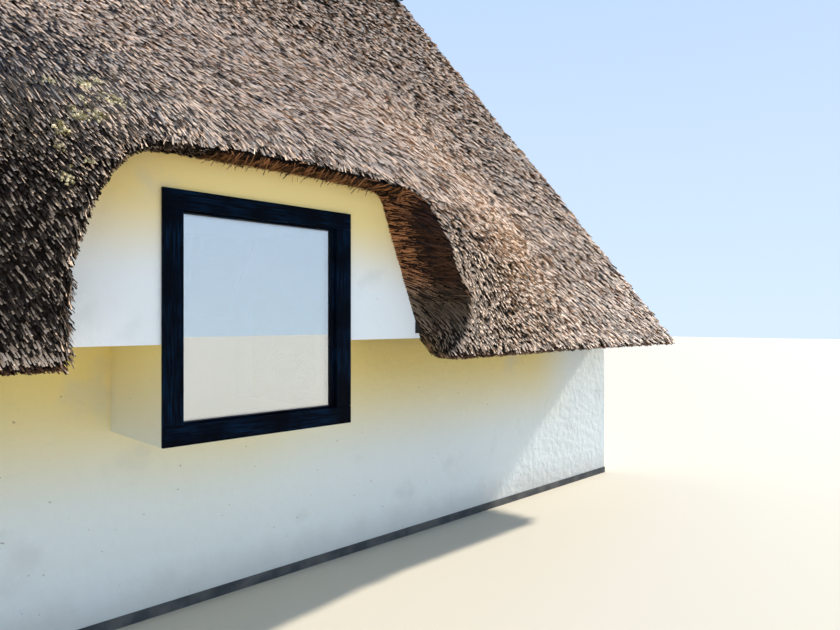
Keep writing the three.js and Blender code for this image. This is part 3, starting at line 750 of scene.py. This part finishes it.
def wave_field(places, size, seed):
    """A smooth wavering number, mostly between -1 and 1, from a few crossing waves."""
    rng = np.random.default_rng(seed)
    total = np.zeros(len(places))
    for _ in range(SWAY_WAVES):
        heading = rng.normal(size=3)
        heading /= np.linalg.norm(heading)
        length = size * rng.uniform(*SWAY_LENGTHS)
        total += np.sin(places @ heading * (2 * math.pi / length) + rng.uniform(0, 2 * math.pi))
    return total / math.sqrt(SWAY_WAVES)


def reed_headings(place, normal, inside, cut, rng):
    """Which way each reed points, from its root to its tip, and how steeply it leaves the skin."""
    count = len(place)
    wanted = np.tile(DOWNHILL, (count, 1))
    flank = bell(place[:, 0], FLANK_X, FLANK_SPREAD) * (place[:, 2] < FLANK_TOP_Z)
    wanted[:, 0] += FLANK_LEAN * flank + SWAY * wave_field(place, SWAY_SIZE, SWAY_SEED)
    wanted[inside] = (0, -1, 0)
    wanted[inside, 2] = -np.interp(place[inside, 2], REVEAL_HEIGHTS, REVEAL_FALLS)
    wanted = unit(wanted + rng.normal(scale=REED_SPREAD, size=(count, 3)))
    rise = (wanted * normal).sum(1) * np.where(inside, RISE_KEPT_INSIDE, 1.0)
    rise = np.clip(rise, LEAST_RISE, np.where(cut, MOST_RISE_AT_CUT, MOST_RISE))
    flat = along_skin(wanted, normal)
    return flat * np.sqrt(1 - rise**2)[:, None] + normal * rise[:, None], rise


print("reeds dip", REED_DIP_DEGREES, "degrees")

# %% [markdown]
# ## One mesh of many reeds
# Each reed is a narrow strip with its cut end outside and its other end buried in the bed. It is
# rolled a little about its own length, so that neighbours catch the light differently. Hair or
# instances could do this too, but here all the reeds are one joined mesh.

# %% Reed mesh
CORNERS_ALONG = (0.0, 0.0, 1.0, 1.0)


def reed_mesh(name, tip, heading, up, length, width, roll, numbers):
    """A narrow strip of two triangles for each reed, rolled about its own length."""
    side = unit(np.cross(heading, up))
    crown = np.cross(side, heading)
    across = side * np.cos(roll)[:, None] + crown * np.sin(roll)[:, None]
    root = tip - heading * length[:, None]
    half = across * (width / 2)[:, None]
    corners = np.stack([root - half, root + half, tip + half, tip - half], axis=1)
    count = len(tip)
    base = np.arange(count)[:, None] * 4
    faces = np.concatenate([base + (0, 1, 2), base + (0, 2, 3)], axis=1).reshape(-1)
    mesh = bpy.data.meshes.new(name)
    mesh.vertices.add(count * 4)
    mesh.loops.add(count * 6)
    mesh.polygons.add(count * 2)
    mesh.vertices.foreach_set("co", corners.astype(np.float32).ravel())
    mesh.loops.foreach_set("vertex_index", faces.astype(np.int32))
    mesh.polygons.foreach_set("loop_start", np.arange(count * 2, dtype=np.int32) * 3)
    mesh.update(calc_edges=True)
    at_corners = {label: np.repeat(values, 4) for label, values in numbers.items()}
    at_corners["along"] = np.tile(CORNERS_ALONG, count)
    for label, values in at_corners.items():
        layer = mesh.attributes.new(label, "FLOAT", "POINT")
        layer.data.foreach_set("value", values.astype(np.float32))
    lay_out_map(mesh, corners.reshape(-1, 3)[faces])
    return mesh


def lay_out_map(mesh, corner_places):
    """A flat map of the roof, by its length and its height."""
    low, high = frame_box
    across = (corner_places[:, 0] - low.x) / (high.x - low.x)
    upward = (corner_places[:, 2] - low.z) / (high.z - low.z)
    layer = mesh.uv_layers.new(name="OFBake", do_init=False)
    layer.uv.foreach_set("vector", np.stack([across, upward], 1).astype(np.float32).ravel())


print("reed mesh ready:", len(CORNERS_ALONG), "corners a reed")

# %% [markdown]
# ## Age, damp and shade
# Most reeds are bleached and the others dark with age, with little in between. To the left of the
# eyebrow, where the sun never comes, many of them are painted nearly black, for damp and as
# painted shade. The outer edge of the reveal and the hollow low in it are darker still, as painted
# shade.

# %% Tones of the reeds
BLEACHED_TONE = (0.92, 0.14)
AGED_TONE = (0.03, 0.07)
# strength, middle and spread along X, heights where it comes, heights where it goes
DAMP_AND_SHADE_PATCHES = [
    (1.00, -1.15, 0.50, (1.33, 1.48), (2.35, 2.85)),
    (0.62, -0.90, 0.45, (2.20, 2.40), (2.70, 3.20)),
]
EDGE_OUTWARD = (4.26, 4.38)
EDGE_FOOT_Z = (1.50, 1.60)
EDGE_TOP_Z = 2.15
HOLLOW_Z = 1.58
HOLLOW_SPREAD = 0.15
HOLLOW_OUTWARD = (4.14, 4.28)
HOLLOW_LEAST = 0.35


def reed_tones(count, bleached_share, rng):
    """A share of the reeds is bleached, and the rest is dark with age."""
    bleached = rng.random(count) < bleached_share
    tones = np.where(bleached, rng.normal(*BLEACHED_TONE, count), rng.normal(*AGED_TONE, count))
    return np.clip(tones, 0, 1)


def damp_and_shade_amount(place):
    """How damp and shaded the reed is. Two patches beside and above the eyebrow's left side never dry, and
    their darkening is also painted shade.
    """
    x, z = place[:, 0], place[:, 2]
    patches = [
        strength * bell(x, middle, spread) * between(z, *comes) * (1 - between(z, *goes))
        for strength, middle, spread, comes, goes in DAMP_AND_SHADE_PATCHES
    ]
    return np.max(patches, axis=0)


def deep_shade(place):
    """The outer edge of the reveal and the hollow low in it, where the reed is painted black as painted
    shade.
    """
    outward, z = -place[:, 1], place[:, 2]
    edge = between(outward, *EDGE_OUTWARD) * between(z, *EDGE_FOOT_Z) * (z < EDGE_TOP_Z)
    outer = HOLLOW_LEAST + (1 - HOLLOW_LEAST) * between(outward, *HOLLOW_OUTWARD)
    return np.maximum(edge, bell(z, HOLLOW_Z, HOLLOW_SPREAD) * outer)


print("damp patches:", len(DAMP_AND_SHADE_PATCHES))

# %% Where lichen grows
# along X, height, radius
LICHEN_SPOTS = [
    (-0.87, 2.27, 0.022),
    (-0.79, 2.29, 0.022),
    (-0.69, 2.40, 0.030),
    (-0.77, 2.47, 0.022),
    (-0.70, 2.52, 0.018),
    (-0.94, 2.19, 0.022),
    (-0.96, 2.11, 0.014),
    (-0.95, 2.00, 0.018),
    (-0.87, 2.08, 0.010),
    (-0.91, 2.43, 0.015),
    (-0.83, 2.36, 0.016),
]


def lichen_amount(place):
    """How much lichen grows at a place, from 1 in the middle of a spot to 0 outside it."""
    amount = np.zeros(len(place))
    for x, z, radius in LICHEN_SPOTS:
        distance = np.hypot(place[:, 0] - x, place[:, 2] - z)
        amount += bell(distance, 0, radius)
    return amount


print("lichen spots:", len(LICHEN_SPOTS))

# %% [markdown]
# ## Planting the slopes
# Each reed gets its place, heading, length, width and tone in turn. Along the edges the tips stand
# out furthest, as a soft fringe. The left side of the reveal faces away from the eye, and short ends
# line it, darkened for damp and as painted shade. The reeds of a slope are shared out over a few
# meshes from left to right, and the back slope is planted as the front is and then turned round.

# %% Lengths and colours of the reeds
TIP_LOW = -0.005
TIP_HIGH = 0.007
EDGE_TIP_HIGH = 0.014
FRINGE_TIPS = (0.004, 0.027)
FRINGE_TOP_Z = 1.66
VERGE_FACING = 0.6
REVEAL_TIPS = (0.002, 0.014)
ROOT_DEPTH = 0.015
SHORTEST = 0.05
LONGEST = 0.15
STRAW_TOP_Z = 2.1
STRAW_HEIGHTS = (1.40, 1.65)
STRAW_LENGTHS = (0.05, 0.24)
STRAW_SHARES = (0.5, 1.0)
LINING_DAMP_AND_SHADE = 0.6
BLEACHED_SHARE = 0.76
BLEACHED_INSIDE = 0.52
MORE_BLEACHED_AND_LIT = 0.07
SUNNY_X = (0.0, 0.8)
LESS_IN_DAMP_AND_SHADE = 0.54
DAMP_AND_SHADE_DARKENS = 0.40
CUT_SHADE_DARKENS = 0.65
SHADE_DARKENS = 0.88
# tone in the reveal by height, darkest at its foot and top, as painted shade
REVEAL_SHADE_TONES = [0.60, 0.60, 1.05, 0.95, 0.62]
MOST_BROWN_OUTSIDE = 0.15
CUT_BROWN = 0.55
INSIDE_BROWN = (0.15, 0.75)
BROWN_FROM_Z = (1.55, 1.80)
LICHEN_BLOOM = 0.5
MOST_BLOOM = 0.6


def tip_heights(place, up, inside, lining, cut, rng):
    """How far each cut end stands out of the skin."""
    count = len(place)
    verge = (up[:, 0] > VERGE_FACING) & ~(inside | lining)
    fringe = (lining & (place[:, 2] < FRINGE_TOP_Z)) | verge
    lowest = np.where(fringe, FRINGE_TIPS[0], TIP_LOW)
    highest = np.where(fringe, FRINGE_TIPS[1], np.where(lining | cut, EDGE_TIP_HIGH, TIP_HIGH))
    above = rng.uniform(lowest, highest, count)
    return np.where(inside, rng.uniform(*REVEAL_TIPS, count), above)


def reed_lengths(place, up, above, rise, inside, rng):
    """Long enough to root in the bed, and in the reveal as long as loose straws."""
    depth = above + BED_DEPTH * outer_share(up) + ROOT_DEPTH
    straws = rng.uniform(*STRAW_SHARES, len(place))
    straws *= np.interp(place[:, 2], STRAW_HEIGHTS, STRAW_LENGTHS)
    straight = inside & (place[:, 2] < STRAW_TOP_Z)
    return np.where(straight, straws, np.clip(depth / rise, SHORTEST, LONGEST))


def reed_numbers(place, inside, lining, cut, rng):
    """The tone of each reed, how sheltered and shaded it is, and how much lichen grows on it."""
    x, z = place[:, 0], place[:, 2]
    count = len(place)
    # the damp patches and the reveal's left side are darkened partly for damp and partly as painted shade
    damp_and_shade = np.maximum(damp_and_shade_amount(place), LINING_DAMP_AND_SHADE * lining)
    # a few more bleached reeds right of the middle, from the sun's bleaching and as painted light
    share = BLEACHED_SHARE + MORE_BLEACHED_AND_LIT * between(x, *SUNNY_X) - LESS_IN_DAMP_AND_SHADE * damp_and_shade
    tone = reed_tones(count, np.where(inside, BLEACHED_INSIDE, share), rng)
    tone *= 1 - DAMP_AND_SHADE_DARKENS * damp_and_shade
    # the reeds of the eave cut face down, and are darkened as painted shade
    tone *= 1 - CUT_SHADE_DARKENS * cut
    tone *= np.where(inside, 1 - SHADE_DARKENS * deep_shade(place), 1)
    # the reveal is darker at its foot and top, as painted shade
    tone *= np.where(inside, np.interp(z, REVEAL_HEIGHTS, REVEAL_SHADE_TONES), 1)
    brown = rng.uniform(0, MOST_BROWN_OUTSIDE, count) + CUT_BROWN * cut
    least, more = INSIDE_BROWN
    brown = np.where(inside, least + more * between(z, *BROWN_FROM_Z), brown)
    bloom = np.clip(LICHEN_BLOOM * lichen_amount(place), 0, MOST_BLOOM) * ~(inside | lining)
    return {"tone": tone, "shelter_and_shade": brown, "lichen": bloom}


print("longest reed:", max(LONGEST, *STRAW_LENGTHS), "m")

# %% Planting
REVEAL_LEFT_X = -0.35
THINNER_INSIDE = 0.48
WIDTH_SPREAD = (0.75, 1.25)
MOST_ROLL = math.radians(35)


def plant(name, count, pieces, seed):
    """Plants count reeds on the front skin and returns their meshes, from left to right."""
    rng = np.random.default_rng(seed)
    place, up = skin_samples(skin, count, slope_density, rng)
    reveal = in_reveal(place, up)
    inside = reveal & (place[:, 0] > REVEAL_LEFT_X)
    lining = reveal & ~inside
    cut = (up[:, 2] < LOOKS_DOWN) & ~reveal
    heading, rise = reed_headings(place, up, inside, cut, rng)
    above = tip_heights(place, up, inside, lining, cut, rng)
    tip = place + up * above[:, None]
    length = reed_lengths(place, up, above, rise, inside, rng)
    width = reed_size(place) * rng.uniform(*WIDTH_SPREAD, count)
    width *= np.where(inside, THINNER_INSIDE, 1)
    roll = rng.uniform(-MOST_ROLL, MOST_ROLL, count)
    numbers = reed_numbers(place, inside, lining, cut, rng)
    left_to_right = np.argsort(place[:, 0])
    meshes = []
    for number, part in enumerate(np.array_split(left_to_right, pieces), 1):
        form = (values[part] for values in (tip, heading, up, length, width, roll))
        carried = {label: values[part] for label, values in numbers.items()}
        meshes.append(reed_mesh(f"{name}_{number}", *form, carried))
    return meshes


reed_total = 0
for mesh in plant("thatch_reeds_front", count=150000, pieces=4, seed=21):
    reed_total += triangles_in(add_piece(mesh.name, mesh, "thatch", reed))
for mesh in plant("thatch_reeds_back", count=110000, pieces=3, seed=41):
    reed_total += triangles_in(add_piece(mesh.name, turned(mesh, 180), "thatch", reed))
print("reeds on the slopes:", reed_total, "triangles")

# %% [markdown]
# ## Board end
# A small near-black block, the size of a board's end, stands where the dormer face meets the thatch,
# at its lower right corner.

# %% The board end
# two corners, each along X, inwards from the dormer face, and up
BOARD_END = ((0.994, -0.008, 1.440), (1.050, 0.060, 1.505))
THIN_EDGE = 0.0006

near_black_tones = ((0.008, 0.006, 0.005), (0.030, 0.022, 0.016))
near_black_block = two_tone_material(
    "near-black block", near_black_tones, roughness=0.8, scale=24, grit_scale=150, relief=0.001
)
end_low, end_high = ((x, FACE_Y + y, z) for x, y, z in BOARD_END)
end_mesh = boards_mesh("board_end_front", [(end_low, end_high, THIN_EDGE, 0)])
board_end = add_piece("board_end_front", end_mesh, "timber", near_black_block)
add_piece("board_end_back", turned(end_mesh, 180), "timber", near_black_block)
print("board end:", triangles_in(board_end), "triangles")

# %% [markdown]
# ## Lichen
# Lichen grows in small cream cushions on the shaded side of the eyebrow. Each cushion is a ball of
# 80 triangles with uneven points, sunk about to its middle among the reeds. A displaced surface
# could give the same lumps, but loose balls keep their sharp shadows.

# %% Lichen cushions
CUSHION_RADII = (0.003, 0.007)
CUSHION_BUMPS = (0.5, 1.3)
CUSHION_HEIGHTS = (-0.002, 0.006)


def lichen_density(place, normal):
    return lichen_amount(place) * (normal @ SLOPE_NORMAL > 0)


def cushion_mesh(name, count, seed):
    """Uneven balls, joined in one mesh."""
    rng = np.random.default_rng(seed)
    place, up = skin_samples(skin, count, lichen_density, rng)
    bm = bmesh.new()
    bmesh.ops.create_icosphere(bm, subdivisions=2, radius=1)
    ball = np.array([v.co[:] for v in bm.verts])
    ball_faces = np.array([[v.index for v in face.verts] for face in bm.faces])
    bm.free()
    radius = rng.uniform(*CUSHION_RADII, (count, 1, 1))
    radius = radius * rng.uniform(*CUSHION_BUMPS, (count, len(ball), 1))
    middle = place + up * rng.uniform(*CUSHION_HEIGHTS, count)[:, None]
    corners = middle[:, None] + ball * radius
    faces = ball_faces[None] + (np.arange(count) * len(ball))[:, None, None]
    mesh = bpy.data.meshes.new(name)
    mesh.from_pydata(corners.reshape(-1, 3).tolist(), [], faces.reshape(-1, 3).tolist())
    return mesh


crust_tones = ((0.16, 0.12, 0.03), (0.97, 0.84, 0.53))
lichen_crust = two_tone_material(
    "lichen crust", crust_tones, roughness=0.9, scale=38, grit_scale=300, relief=0.001
)
lichen_mesh = cushion_mesh("thatch_lichen_front", count=300, seed=71)
lichen = add_piece("thatch_lichen_front", lichen_mesh, "thatch", lichen_crust)
add_piece("thatch_lichen_back", turned(lichen_mesh, 180), "thatch", lichen_crust)
print("lichen:", triangles_in(lichen), "triangles a slope")

# %% [markdown]
# ## The ridge
# Where the slopes meet, a saddle of reed is bent over the top and trimmed along both sides. It
# is made as the slopes are: a rounded bed, with reeds planted on it that point down each side.

# %% Making the ridge
RIDGE_RISE_DEGREES = (4, 14)
RIDGE_TIPS = (0.002, 0.012)
RIDGE_BLEACHED = 0.62
RIDGE_DULLING = 0.85
RIDGE_BROWN = (0.1, 0.4)
RIDGE_LENGTHS = (0.09, 0.17)
RIDGE_WIDTHS = (0.008, 0.013)

ridge_mesh = rounded_copy("thatch_ridge", "thatch_ridge_bed", voxel=0.035, turns=4, keep=0.4)


def ridge_density(place, normal):
    return (normal[:, 2] > LOOKS_DOWN) * 1.0


def ridge_reeds(count, seed):
    """Reeds that point down the near side of the saddle."""
    rng = np.random.default_rng(seed)
    place, up = skin_samples(ridge_mesh, count, ridge_density, rng)
    side = np.where(place[:, 1] > 0, 1.0, -1.0)
    fall = np.stack([np.zeros(count), side * -DOWNHILL[1], np.full(count, DOWNHILL[2])], 1)
    flat = along_skin(fall + rng.normal(scale=REED_SPREAD, size=(count, 3)), up)
    rise = np.radians(rng.uniform(*RIDGE_RISE_DEGREES, count))[:, None]
    heading = flat * np.cos(rise) + up * np.sin(rise)
    tip = place + up * rng.uniform(*RIDGE_TIPS, count)[:, None]
    numbers = {
        "tone": reed_tones(count, RIDGE_BLEACHED, rng) * RIDGE_DULLING,
        "shelter_and_shade": rng.uniform(*RIDGE_BROWN, count),
        "lichen": np.zeros(count),
    }
    length = rng.uniform(*RIDGE_LENGTHS, count)
    width = rng.uniform(*RIDGE_WIDTHS, count)
    roll = rng.uniform(-MOST_ROLL, MOST_ROLL, count)
    return reed_mesh("thatch_ridge_reeds", tip, heading, up, length, width, roll, numbers)


ridge_reed_mesh = ridge_reeds(count=22000, seed=61)
ridge_piece = add_piece("thatch_ridge_reeds", ridge_reed_mesh, "ridge", reed)
ridge_bed = add_piece("thatch_ridge_bed", ridge_mesh, "ridge", front_bed)
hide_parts("thatch_ridge")
print("ridge:", triangles_in(ridge_bed) + triangles_in(ridge_piece), "triangles")

# %% [markdown]
# ## Window joinery
# The solid frame is one ring. A joiner makes it from boards: the head and the foot run across the
# full width, and the stiles stand between them, so fine joint lines show at the corners. Behind
# the casing sit the sash and its glazing beads, and two panes are held apart by a grey spacer.

# %% Building the windows
CASING_SIDE = 0.092
CASING_HEAD = 0.088
CASING_FOOT = 0.090
FRAME_DEPTH = 0.094
BEAD = 0.009
BEAD_SET_BACK = 0.022
PANE_SET_BACKS = (0.040, 0.060)
PANE_THICKNESS = 0.004
SPACER = 0.017
CASING_DEPTH = 0.0147
SASH_INSET = 0.0633
JOINT = 0.0012
BOARD_EDGE = 0.0022
UPRIGHT, ACROSS, GREY = 0, 1, 2


def ring_boards(outer, inner, y0, y1, edge, first, second):
    """Four boards between an outer and an inner rectangle: foot and head, then the sides."""
    (ox, oz0, oz1), (ix, iz0, iz1) = outer, inner
    return [
        ((-ox, y0, oz0), (ox, y1, iz0 - JOINT), edge, first),
        ((-ox, y0, iz1 + JOINT), (ox, y1, oz1), edge, first),
        ((-ox, y0, iz0), (-ix, y1, iz1), edge, second),
        ((ix, y0, iz0), (ox, y1, iz1), edge, second),
    ]


def joinery_mesh(name, face_y, half, low, high, casing_depth, sash_inset):
    """The casing, sash, beads and spacer of a window that faces the front."""
    pane_half, pane_low, pane_high = half - CASING_SIDE, low + CASING_FOOT, high - CASING_HEAD
    glass_rim = (pane_half, pane_low, pane_high)
    bead_rim = (pane_half - BEAD, pane_low + BEAD, pane_high - BEAD)
    spacer_rim = (pane_half - SPACER, pane_low + SPACER, pane_high - SPACER)
    sash = (half - sash_inset, low + sash_inset, high - sash_inset)
    back = face_y + FRAME_DEPTH
    casing_back = face_y + casing_depth
    first, second = (face_y + set_back for set_back in PANE_SET_BACKS)
    wood = (BOARD_EDGE, ACROSS, UPRIGHT)
    boards = ring_boards((half, low, high), glass_rim, face_y, casing_back, *wood)
    boards += ring_boards(sash, glass_rim, casing_back, back, *wood)
    boards += ring_boards(glass_rim, bead_rim, face_y + BEAD_SET_BACK, first, *wood)
    boards += ring_boards(glass_rim, bead_rim, second + PANE_THICKNESS, back - BOARD_EDGE, *wood)
    boards += ring_boards(glass_rim, spacer_rim, first + PANE_THICKNESS, second, THIN_EDGE, GREY, GREY)
    return boards_mesh(name, boards)


def panes_mesh(name, face_y, half, low, high):
    """The two panes of a window that faces the front."""
    pane_half = half - CASING_SIDE - THIN_EDGE
    boards = [
        (
            (-pane_half, face_y + set_back, low + CASING_FOOT + THIN_EDGE),
            (pane_half, face_y + set_back + PANE_THICKNESS, high - CASING_HEAD - THIN_EDGE),
            THIN_EDGE,
            0,
        )
        for set_back in PANE_SET_BACKS
    ]
    return boards_mesh(name, boards)


frame_low, frame_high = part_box("window_frame_front")
right_low, right_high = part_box("window_frame_right")
front_casing = (frame_low.y, frame_high.x, frame_low.z, frame_high.z)
right_casing = (-right_high.x, right_high.y, right_low.z, right_high.z)
front_joinery = joinery_mesh("window_joinery_front", *front_casing, CASING_DEPTH, SASH_INSET)
front_panes = panes_mesh("window_panes_front", *front_casing)
right_joinery = joinery_mesh(
    "window_joinery_right", *right_casing, casing_depth=FRAME_DEPTH / 3, sash_inset=0
)
right_panes = panes_mesh("window_panes_right", *right_casing)
windows = [
    ("front", front_joinery, front_panes),
    ("back", turned(front_joinery, 180), turned(front_panes, 180)),
    ("right", turned(right_joinery, 90), turned(right_panes, 90)),
]
frame_coats = (paint_upright, paint_across, spacer_grey)
for side, joinery, panes in windows:
    framed = add_piece(f"window_joinery_{side}", joinery, "frame", *frame_coats)
    glazed = add_piece(f"window_panes_{side}", panes, "glass", pane)
    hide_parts(f"window_frame_{side}")
    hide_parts(f"window_glass_{side}")
    print(side, "window:", triangles_in(framed) + triangles_in(glazed), "triangles")

# %% [markdown]
# ## The door
# The door in the left gable is a plain one of upright boards. Each board has its own rounded
# edges, so that the joints show as fine shadows, and a thinner core closes the joints behind.

# %% Building the door
DOOR_BOARDS = 7
DOOR_FRAME_FACE = 0.060
DOOR_BOARD_THICKNESS = 0.018
DOOR_EDGE = 0.003
CORE_INSET = 0.004

leaf_low, leaf_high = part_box("door_leaf")
door_low, door_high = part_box("door_frame")
pitch = (leaf_high.y - leaf_low.y) / DOOR_BOARDS
board_back = leaf_low.x + DOOR_BOARD_THICKNESS
inset = Vector((0, CORE_INSET, CORE_INSET))
core_low = Vector((board_back - CORE_INSET, leaf_low.y, leaf_low.z)) + inset
leaf_boards = [(core_low, leaf_high - inset, DOOR_EDGE, 0)]
for number in range(DOOR_BOARDS):
    start = leaf_low.y + number * pitch
    low = (leaf_low.x, start + JOINT, leaf_low.z)
    high = (board_back, start + pitch - JOINT, leaf_high.z)
    leaf_boards.append((low, high, DOOR_EDGE, 0))
leaf_mesh = boards_mesh("door_boards", leaf_boards)
leaf = add_piece("door_boards", leaf_mesh, "door", paint_upright)
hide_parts("door_leaf")
jamb_y = door_high.y - DOOR_FRAME_FACE
head_z = door_high.z - DOOR_FRAME_FACE
frame_boards = [
    (tuple(door_low), (door_high.x, -jamb_y, head_z), DOOR_EDGE, 0),
    ((door_low.x, jamb_y, door_low.z), (door_high.x, door_high.y, head_z), DOOR_EDGE, 0),
    ((door_low.x, door_low.y, head_z + JOINT), tuple(door_high), DOOR_EDGE, 0),
]
frame_mesh = boards_mesh("door_frame_boards", frame_boards)
door_frame = add_piece("door_frame_boards", frame_mesh, "frame", paint_upright)
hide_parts("door_frame")
print("door:", triangles_in(leaf) + triangles_in(door_frame), "triangles")

# %% [markdown]
# ## Finishes on the solids
# The walls, plinth, floor, roof timbers and the door's handle and threshold keep their solids and
# only get a finish. There are four limes, because the cream, partly painted warm light, starts at
# another height on the long walls, the gables, the window boxes and the dormer faces, and the
# dormer faces' lime is lighter as painted light.

# %% Finishing the solids


def finish(material, *names):
    """Gives solids one material in place of their own."""
    for name in names:
        nodes[name].data.materials.clear()
        nodes[name].data.materials.append(material)


finish(wall_lime, "wall_front", "wall_back")
finish(gable_lime, "wall_gable_left", "wall_gable_right")
finish(face_lime, "dormer_face_front", "dormer_face_back")
finish(box_lime, "window_box_front", "window_box_back")
finish(plinth_coat, "plinth")
finish(doorstone, "door_threshold")
finish(screed, "floor_slab")
finish(satin_steel, "door_handle")
timbers = [name for name in nodes if name.startswith(("rafter", "collar", "ridge_beam"))]
finish(sawn_timber, *timbers)
print("timbers:", len(timbers))

# %% [markdown]
# ## Floor and light
# A plain pale floor and plain soft light. One warm lamp stands on the right, where the sun would
# be, so that the slope is lit and the reveal isn't, and an even pale sky fills the rest.

# %% Floor
FLOOR_HALF = 60.0
FLOOR_COLOUR = (0.58, 0.53, 0.42)

floor_mesh = bpy.data.meshes.new("ground")
corners = [(x * FLOOR_HALF, y * FLOOR_HALF, 0) for x, y in ((-1, -1), (1, -1), (1, 1), (-1, 1))]
floor_mesh.from_pydata(corners, [], [(0, 1, 2, 3)])
ground = bpy.data.objects.new("ground", floor_mesh)
ground_material, _, ground_shader = new_material("pale floor", roughness=0.9)
ground_shader.inputs["Base Color"].default_value = (*FLOOR_COLOUR, 1)
floor_mesh.materials.append(ground_material)
scene.collection.objects.link(ground)
print("floor:", 2 * FLOOR_HALF, "m square")

# %% Light
SUN_FROM = Vector((0.83, -0.08, 0.54))
SUN_STRENGTH = 6.2
SUN_ANGLE_DEGREES = 2
SUN_COLOUR = (1.0, 0.93, 0.84)
SKY_STRENGTH = 1.05
HORIZON_BLUE = (0.69, 0.84, 1.0)
ZENITH_BLUE = (0.34, 0.53, 0.94)

sun_data = bpy.data.lights.new("key", "SUN")
sun_data.energy = SUN_STRENGTH
sun_data.angle = math.radians(SUN_ANGLE_DEGREES)
sun_data.color = SUN_COLOUR
sun = bpy.data.objects.new("key", sun_data)
sun.rotation_euler = SUN_FROM.to_track_quat("Z", "Y").to_euler()
scene.collection.objects.link(sun)

world = bpy.data.worlds.new("soft sky")
world.use_nodes = True
sky_tree = world.node_tree
sky = sky_tree.nodes["Background"]
sky.inputs["Strength"].default_value = SKY_STRENGTH
direction = put(sky_tree, "ShaderNodeTexCoord", -4).outputs["Generated"]
upward = put(sky_tree, "ShaderNodeSeparateXYZ", -3, 0, {0: direction}).outputs["Z"]
sky_colour = mix_colours(sky_tree, -1, 0, upward, HORIZON_BLUE, ZENITH_BLUE)
sky_tree.links.new(sky_colour, sky.inputs["Color"])
scene.world = world
scene.view_settings.view_transform = "Standard"
print("light from", [round(c, 2) for c in SUN_FROM])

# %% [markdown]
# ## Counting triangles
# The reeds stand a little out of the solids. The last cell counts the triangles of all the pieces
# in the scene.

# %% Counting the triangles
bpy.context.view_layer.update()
print("triangles:", sum(triangles_in(piece) for piece in scene.objects if piece.type == "MESH"))
